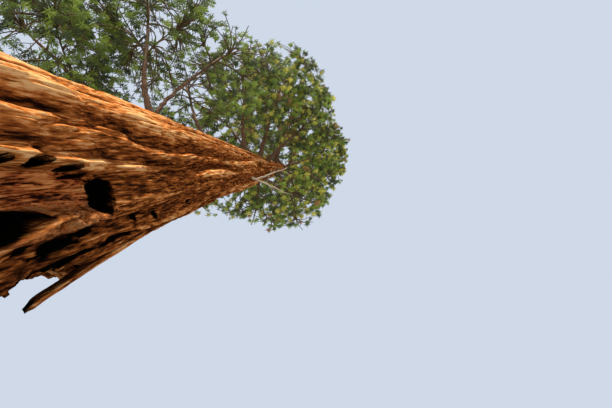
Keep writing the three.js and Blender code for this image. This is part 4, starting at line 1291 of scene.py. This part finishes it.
# Stands blades round a short axis by the golden angle, and puts such a spray, upright, on every
# point.
def sprayTree(tones):
    sockets = {"Blade": "Object", "Blades": "Int", "Axis": "Float", "Blade length": "Float"}
    sockets.update({"Lowest lean": "Float", "Highest lean": "Float", "Seed": "Int"})
    tree, given = newTree("spraysOfNeedles", sockets)
    blade = addNode(tree, "GeometryNodeObjectInfo", {}, {"Object": given["Blade"]}).outputs["Geometry"]
    gap = addNode(tree, "ShaderNodeMath", {"operation": "DIVIDE"}, {0: given["Axis"], 1: given["Blades"]})
    step = addNode(tree, "ShaderNodeCombineXYZ", {}, {"Z": gap})
    stalk = addNode(tree, "GeometryNodeMeshLine", {}, {"Count": given["Blades"], "Offset": step})
    order = addNode(tree, "GeometryNodeInputIndex")
    rise = addNode(tree, "ShaderNodeMath", {"operation": "DIVIDE"}, {0: order, 1: given["Blades"]})
    spin = addNode(tree, "ShaderNodeMath", {"operation": "MULTIPLY", 1: goldenAngle}, {0: order})
    leans = {"Value": rise, "To Min": given["Lowest lean"], "To Max": given["Highest lean"]}
    lean = addNode(tree, "ShaderNodeMapRange", {}, leans)
    shrinking = {"To Min": 1.0, "To Max": sprayLook["endSize"]}
    shrink = addNode(tree, "ShaderNodeMapRange", shrinking, {"Value": rise})
    stray = {"data_type": "FLOAT", 2: -sprayLook["strayLean"], 3: sprayLook["strayLean"]}
    sizes = {"data_type": "FLOAT", 2: sprayLook["sizes"][0], 3: sprayLook["sizes"][1]}
    times = {"operation": "MULTIPLY"}
    kinds = addNode(tree, "GeometryNodeJoinGeometry")
    for kind in range(sprayLook["kinds"]):
        seed = addNode(tree, "ShaderNodeMath", {"operation": "ADD", 1: float(kind)}, {0: given["Seed"]})
        leanOff = addNode(tree, "FunctionNodeRandomValue", stray, {"Seed": seed}).outputs[1]
        leaning = addNode(tree, "ShaderNodeMath", {"operation": "ADD"}, {0: lean, 1: leanOff})
        turn = addNode(tree, "ShaderNodeCombineXYZ", {}, {"X": leaning, "Z": spin})
        facing = addNode(tree, "FunctionNodeEulerToRotation", {}, {0: turn})
        varied = addNode(tree, "FunctionNodeRandomValue", sizes, {"Seed": seed}).outputs[1]
        size = addNode(tree, "ShaderNodeMath", times, {0: varied, 1: shrink})
        length = addNode(tree, "ShaderNodeMath", times, {0: size, 1: given["Blade length"]})
        blades = {"Points": stalk, "Instance": blade, "Rotation": facing, "Scale": length}
        spray = addNode(tree, "GeometryNodeInstanceOnPoints", {}, blades)
        real = addNode(tree, "GeometryNodeRealizeInstances", {}, {"Geometry": spray})
        one = addNode(tree, "GeometryNodeGeometryToInstance", {}, {0: real})
        tree.links.new(one.outputs[0], kinds.inputs[0])
    sized, tone = (
        addNode(tree, "GeometryNodeInputNamedAttribute", {"data_type": kind, "Name": name})
        for name, kind in (("sized", "FLOAT"), ("tone", "INT"))
    )
    choice = {"data_type": "INT", 4: 0, 5: sprayLook["kinds"] - 1}
    chosen = addNode(tree, "FunctionNodeRandomValue", choice, {"Seed": given["Seed"]}).outputs[2]
    placing = {"Points": given["Geometry"], "Instance": kinds, "Instance Index": chosen, "Scale": sized}
    placed = addNode(tree, "GeometryNodeInstanceOnPoints", {"Pick Instance": True}, placing)
    painted = addNode(tree, "GeometryNodeRealizeInstances", {}, {"Geometry": placed})
    for i, material in enumerate(tones):
        matching = {"data_type": "INT", "operation": "EQUAL", 3: i}
        same = addNode(tree, "FunctionNodeCompare", matching, {2: tone})
        painting = {"Geometry": painted, "Selection": same}
        painted = addNode(tree, "GeometryNodeSetMaterial", {"Material": material}, painting)
    addNode(tree, "NodeGroupOutput", {}, {"Geometry": painted})
    return tree


# Sprays as bare points with the size and the tone that each takes. An attribute is filled before
# the next is made, because making one can leave the others' handles stale.
def sprayPoints(name, entries):
    points, sizes, values = zip(*entries)
    mesh = bpy.data.meshes.new(name)
    mesh.from_pydata(points, [], [])
    mesh.attributes.new("sized", "FLOAT", "POINT").data.foreach_set("value", sizes)
    tones = [toneOf(value) for value in values]
    mesh.attributes.new("tone", "INT", "POINT").data.foreach_set("value", tones)
    return objectOf(name, mesh)


# Thick, soft redwood bark: matt, cinnamon with orange ridges, dark brown in the furrows, in long
# fibres, with painted light and shade in the ridge lightness. It is black and matt where fire has burnt
# it to char and as painted shade in its hollows, and grey-tan where bare wood has aged.
barkLook = {
    "furrow": "26140d",
    "body": "8a4a20",
    "ridge": "c67a3c",
    "crest": "e6b47a",
    "charred": "050403",
    "weathered": "94714f",
    "bareWood": "c66a36",
    "bareWoodPale": "e8a462",
    "fibre": 0.032,  # metres from one bundle of fibres to the next
    "fibreLength": 0.3,
    "fibreShare": 4.0,  # how much the fibres and the strands count beside the ridges
    "strandShare": 1.1,
    "levels": (2.25, 3.6),
    "patch": 0.9,
    "patchFrom": (0.54, 0.74),
    "patchMost": 0.45,
    "woodFibreShare": 1.6,
    "woodLevels": (0.9, 1.7),
    "bump": 0.04,
}


# Noise drawn out upwards, as fibres are.
def fibreNoise(tree, place, width, length, detail):
    scale = (1 / width, 1 / width, 1 / length)
    stretched = addNode(tree, "ShaderNodeMapping", {"Scale": scale}, {"Vector": place})
    sampling = {"Scale": 1.0, "Detail": detail, "Roughness": 0.68}
    return addNode(tree, "ShaderNodeTexNoise", sampling, {"Vector": stretched}).outputs["Fac"]


def barkMaterial():
    look = barkLook
    matt = {"Roughness": 0.95, "Specular IOR Level": 0.0}
    material, tree, shader = newMaterial("fibrousRedwoodBark", matt)
    place = addNode(tree, "ShaderNodeTexCoord").outputs["Object"]
    marks = {
        name: addNode(tree, "ShaderNodeAttribute", {"attribute_name": name}).outputs["Fac"]
        for name in ("ridge", "charred", "weathered", "bareWood")
    }
    fibres = fibreNoise(tree, place, look["fibre"], look["fibreLength"], 6)
    strands = fibreNoise(tree, place, look["fibre"] * 3, look["fibreLength"] * 2.5, 3)
    patches = fibreNoise(tree, place, look["patch"] * 0.5, look["patch"] * 2, 2)
    fibreSum, strandSum, woodSum = (
        {"operation": "MULTIPLY_ADD", 1: look[key]}
        for key in ("fibreShare", "strandShare", "woodFibreShare")
    )
    height = addNode(tree, "ShaderNodeMath", fibreSum, {0: fibres, 2: marks["ridge"]})
    height = addNode(tree, "ShaderNodeMath", strandSum, {0: strands, 2: height})
    woodHeight = addNode(tree, "ShaderNodeMath", woodSum, {0: fibres, 2: strands})
    barkRange, woodRange, patchRange = (
        {"From Min": look[key][0], "From Max": look[key][1]} for key in ("levels", "woodLevels", "patchFrom")
    )
    patchRange["To Max"] = look["patchMost"]
    level = addNode(tree, "ShaderNodeMapRange", barkRange, {"Value": height})
    woodLevel = addNode(tree, "ShaderNodeMapRange", woodRange, {"Value": woodHeight})
    patchShare = addNode(tree, "ShaderNodeMapRange", patchRange, {"Value": patches})
    ramps = [
        (level, (0.0, "furrow"), (0.38, "body"), (0.7, "ridge"), (1.0, "crest")),
        (level, (0.0, "furrow"), (1.0, "body")),
        (woodLevel, (0.3, "furrow"), (0.5, "bareWood"), (0.72, "bareWoodPale")),
        (fibres, (0.3, "body"), (0.62, "weathered")),
    ]
    colours = []
    for source, *stops in ramps:
        painting = {"stops": [(at, look[key]) for at, key in stops]}
        colours.append(addNode(tree, "ShaderNodeValToRGB", painting, {"Fac": source}))
    colour, dull, wood, pale = colours
    for share, over in ((patchShare, dull), (marks["bareWood"], wood), (marks["weathered"], pale)):
        layer = addNode(tree, "ShaderNodeMix", {"data_type": "RGBA"}, {0: share, 6: colour, 7: over})
        colour = layer.outputs[2]
    # Black for char, and as painted shade in the hollows and the opening
    black = {"data_type": "RGBA", 7: linearColour(look["charred"])}
    burnt = addNode(tree, "ShaderNodeMix", black, {0: marks["charred"], 6: colour})
    tree.links.new(burnt.outputs[2], shader.inputs["Base Color"])
    bump = addNode(tree, "ShaderNodeBump", {"Strength": 1.0, "Distance": look["bump"]}, {"Height": fibres})
    tree.links.new(bump.outputs[0], shader.inputs["Normal"])
    return material


# Bark of boughs and twigs: thinner and greyer than the trunk's, in short matt flakes. Dead wood has
# lost it and has silvered. Each has three hex colours, a flake's width and length, and roughness
limbLooks = {
    "flakingBoughBark": (("2e211a", "5c4433", "8a6c52"), 0.03, 0.14, 0.9),
    "twigBark": (("2f2a1c", "524630", "75663f"), 0.02, 0.08, 0.85),
    "silveredDeadWood": (("7d6f5e", "b8a992", "ded3bf"), 0.012, 0.12, 0.85),
}


def limbMaterial(name):
    colours, flake, flakeLength, roughness = limbLooks[name]
    material, tree, shader = newMaterial(name, {"Roughness": roughness, "Specular IOR Level": 0.3})
    place = addNode(tree, "ShaderNodeTexCoord").outputs["Object"]
    flakes = fibreNoise(tree, place, flake, flakeLength, 3)
    stops = list(zip((0.32, 0.5, 0.68), colours))
    colour = addNode(tree, "ShaderNodeValToRGB", {"stops": stops}, {"Fac": flakes})
    tree.links.new(colour.outputs[0], shader.inputs["Base Color"])
    bump = addNode(tree, "ShaderNodeBump", {"Strength": 0.6, "Distance": 0.01}, {"Height": flakes})
    tree.links.new(bump.outputs[0], shader.inputs["Normal"])
    return material


# Sprays of small scaly needles: waxy, with a soft gloss. Each spray takes one of these tones, here
# with the share of sprays that do. needlesInShade is painted shade, and the yellow-green and the fresh
# tips are painted sunlight, the tips also fresh growth; browned is the needles' own colour
needleTones = {
    "needlesInShade": ("374a22", 0.24),
    "needlesDeep": ("5c742c", 0.28),
    "needlesMiddle": ("829e3b", 0.24),
    "needlesSunlitYellowGreen": ("aeb044", 0.13),
    "needlesSunlitFreshTips": ("cac95a", 0.06),
    "needlesBrowned": ("967545", 0.05),
}


def toneOf(value):
    shares = np.cumsum([share for _, share in needleTones.values()])
    return min(int(np.searchsorted(shares, value, side="right")), len(needleTones) - 1)


def needleMaterial(name, colour):
    gloss = {"Base Color": linearColour(colour), "Roughness": 0.55, "Specular IOR Level": 0.35}
    material, tree, shader = newMaterial(name, gloss)
    place = addNode(tree, "ShaderNodeTexCoord").outputs["Object"]
    scales = addNode(tree, "ShaderNodeTexNoise", {"Scale": 45.0, "Detail": 1.0}, {"Vector": place})
    bump = addNode(tree, "ShaderNodeBump", {"Strength": 0.5, "Distance": 0.008}, {"Height": scales})
    tree.links.new(bump.outputs[0], shader.inputs["Normal"])
    return material


bark = barkMaterial()
boughBark, twigBark, silveredWood = (limbMaterial(name) for name in limbLooks)
tones = [needleMaterial(name, colour) for name, (colour, _) in needleTones.items()]
print("materials: bark, bough, twig, dead wood and", len(tones), "tones of needles")

for piece in (*trunkPieces, *hangingSlabs):
    piece.data.materials.append(bark)

taperedLimbs = limbTree()
spraysOfNeedles = sprayTree(tones)


def limbPiece(name, lines, sides, relief, grain, seed, material):
    settings = {"Sides": sides, "Relief": relief, "Grain": grain, "Seed": seed, "Material": material}
    return grown(curveObject(name, lines), taperedLimbs, settings, name)


def nodeOf(carrier, mark):
    return carrier["name"].replace("bough", mark).replace("leader", "top_mass")


allBoughs = limbPiece("boughs", limbs["boughs"], 14, 0.035, 7.0, 3.0, boughBark)
deadWood = limbPiece("dead_limb_bare", deadLimbLines(), 7, 0.012, 14.0, 5.0, silveredWood)

# The masses are joined in groups, by their place in the list of carriers
groups = {
    "low": range(1, 6),
    "a": (0, 6, 7, 8, 9),
    "b": range(10, 15),
    "c": range(15, 20),
    "d": range(20, 25),
    "top": range(25, 29),
}
foliage = []
for key, members in groups.items():
    nodes = [nodeOf(carriers[i], "mass") for i in members]
    twigLines = [line for i in members for line in limbs["twigs"][i]]
    points = sprayPoints(f"needles_{key}", [entry for i in members for entry in sprays[i]])
    twigs = limbPiece(f"twigs_{key}", twigLines, 4, 0.0, 1.0, 0.0, twigBark)
    blade = bladeObject()
    leaves = grown(points, spraysOfNeedles, {**sprayLook, "Blade": blade}, f"needles_{key}")
    bpy.data.objects.remove(blade)
    foliage.append((twigs, leaves, nodes))
    print(f"foliage {key}: {len(twigs.data.polygons)} twig and {len(leaves.data.polygons)} needle faces")


def own(piece, slot, *nodes):
    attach(piece, "root")
    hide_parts(*nodes)


for piece in (*trunkPieces, *hangingSlabs):
    own(piece, "bark", "trunk")
own(allBoughs, "limb_bark", *[bough["name"] for bough in boughs])
own(deadWood, "dead_wood", "dead_limb")
for twigs, leaves, nodes in foliage:
    own(twigs, "limb_bark", *nodes)
    own(leaves, "foliage", *nodes)


# The studio: a plain pale floor, a warm key light from -X and a little above, with pale light all
# round
studio = {
    "floor": "aeaca8",
    "backdrop": "cfd9e8",
    "backdropStrength": 1.0,
    "keyFrom": (-0.9, 0.06, 0.6),
    "keyColour": "fff0da",
    "keyStrength": 8.9,
    "keyAngle": 4,
    "floorSize": 900,
}


def buildStudio():
    size = studio["floorSize"]
    mesh = bpy.data.meshes.new("floor")
    corners = [(-size, -size, 0), (size, -size, 0), (size, size, 0), (-size, size, 0)]
    mesh.from_pydata(corners, [], [(0, 1, 2, 3)])
    paint, _, _ = newMaterial("paleFloor", {"Base Color": linearColour(studio["floor"]), "Roughness": 0.9})
    mesh.materials.append(paint)
    objectOf("floor", mesh)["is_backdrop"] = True
    world = bpy.data.worlds.new("studio")
    bpy.context.scene.world = world
    world.use_nodes = True
    background = world.node_tree.nodes["Background"]
    background.inputs["Color"].default_value = linearColour(studio["backdrop"])
    background.inputs["Strength"].default_value = studio["backdropStrength"]
    lamp = bpy.data.lights.new("key", "SUN")
    lamp.energy = studio["keyStrength"]
    lamp.angle = math.radians(studio["keyAngle"])
    lamp.color = linearColour(studio["keyColour"])[:3]
    objectOf("key", lamp).rotation_euler = Vector(studio["keyFrom"]).to_track_quat("Z", "Y").to_euler()
    bpy.context.scene.view_settings.view_transform = "Standard"


buildStudio()


# The camera stands at eye height beside the trunk and looks up, as in the photo. The picture's
# left is +Y and its top is -X, and the point straight overhead is at pixel 335, 168 of 612 x 408.
cameraLook = {
    "lens": 24,
    "sensor": 36,
    "turn": 3,
    "overhead": (29, 36, -408),
    "sees": 500,
}


def placeCamera():
    c, s = math.cos(math.radians(cameraLook["turn"])), math.sin(math.radians(cameraLook["turn"]))
    level = Matrix(((s, -c, 0), (-c, -s, 0), (0, 0, -1)))
    tilt = Vector((0, 0, -1)).rotation_difference(Vector(cameraLook["overhead"])).to_matrix()
    axes = tilt @ level
    data = bpy.data.cameras.new("camera")
    data.lens = cameraLook["lens"]
    data.sensor_width = cameraLook["sensor"]
    data.clip_end = cameraLook["sees"]
    camera = objectOf("camera", data)
    camera.matrix_world = Matrix.Translation(photoPlace) @ axes.transposed().to_4x4()
    bpy.context.scene.camera = camera


placeCamera()
print("studio and camera are in place")

low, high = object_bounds()
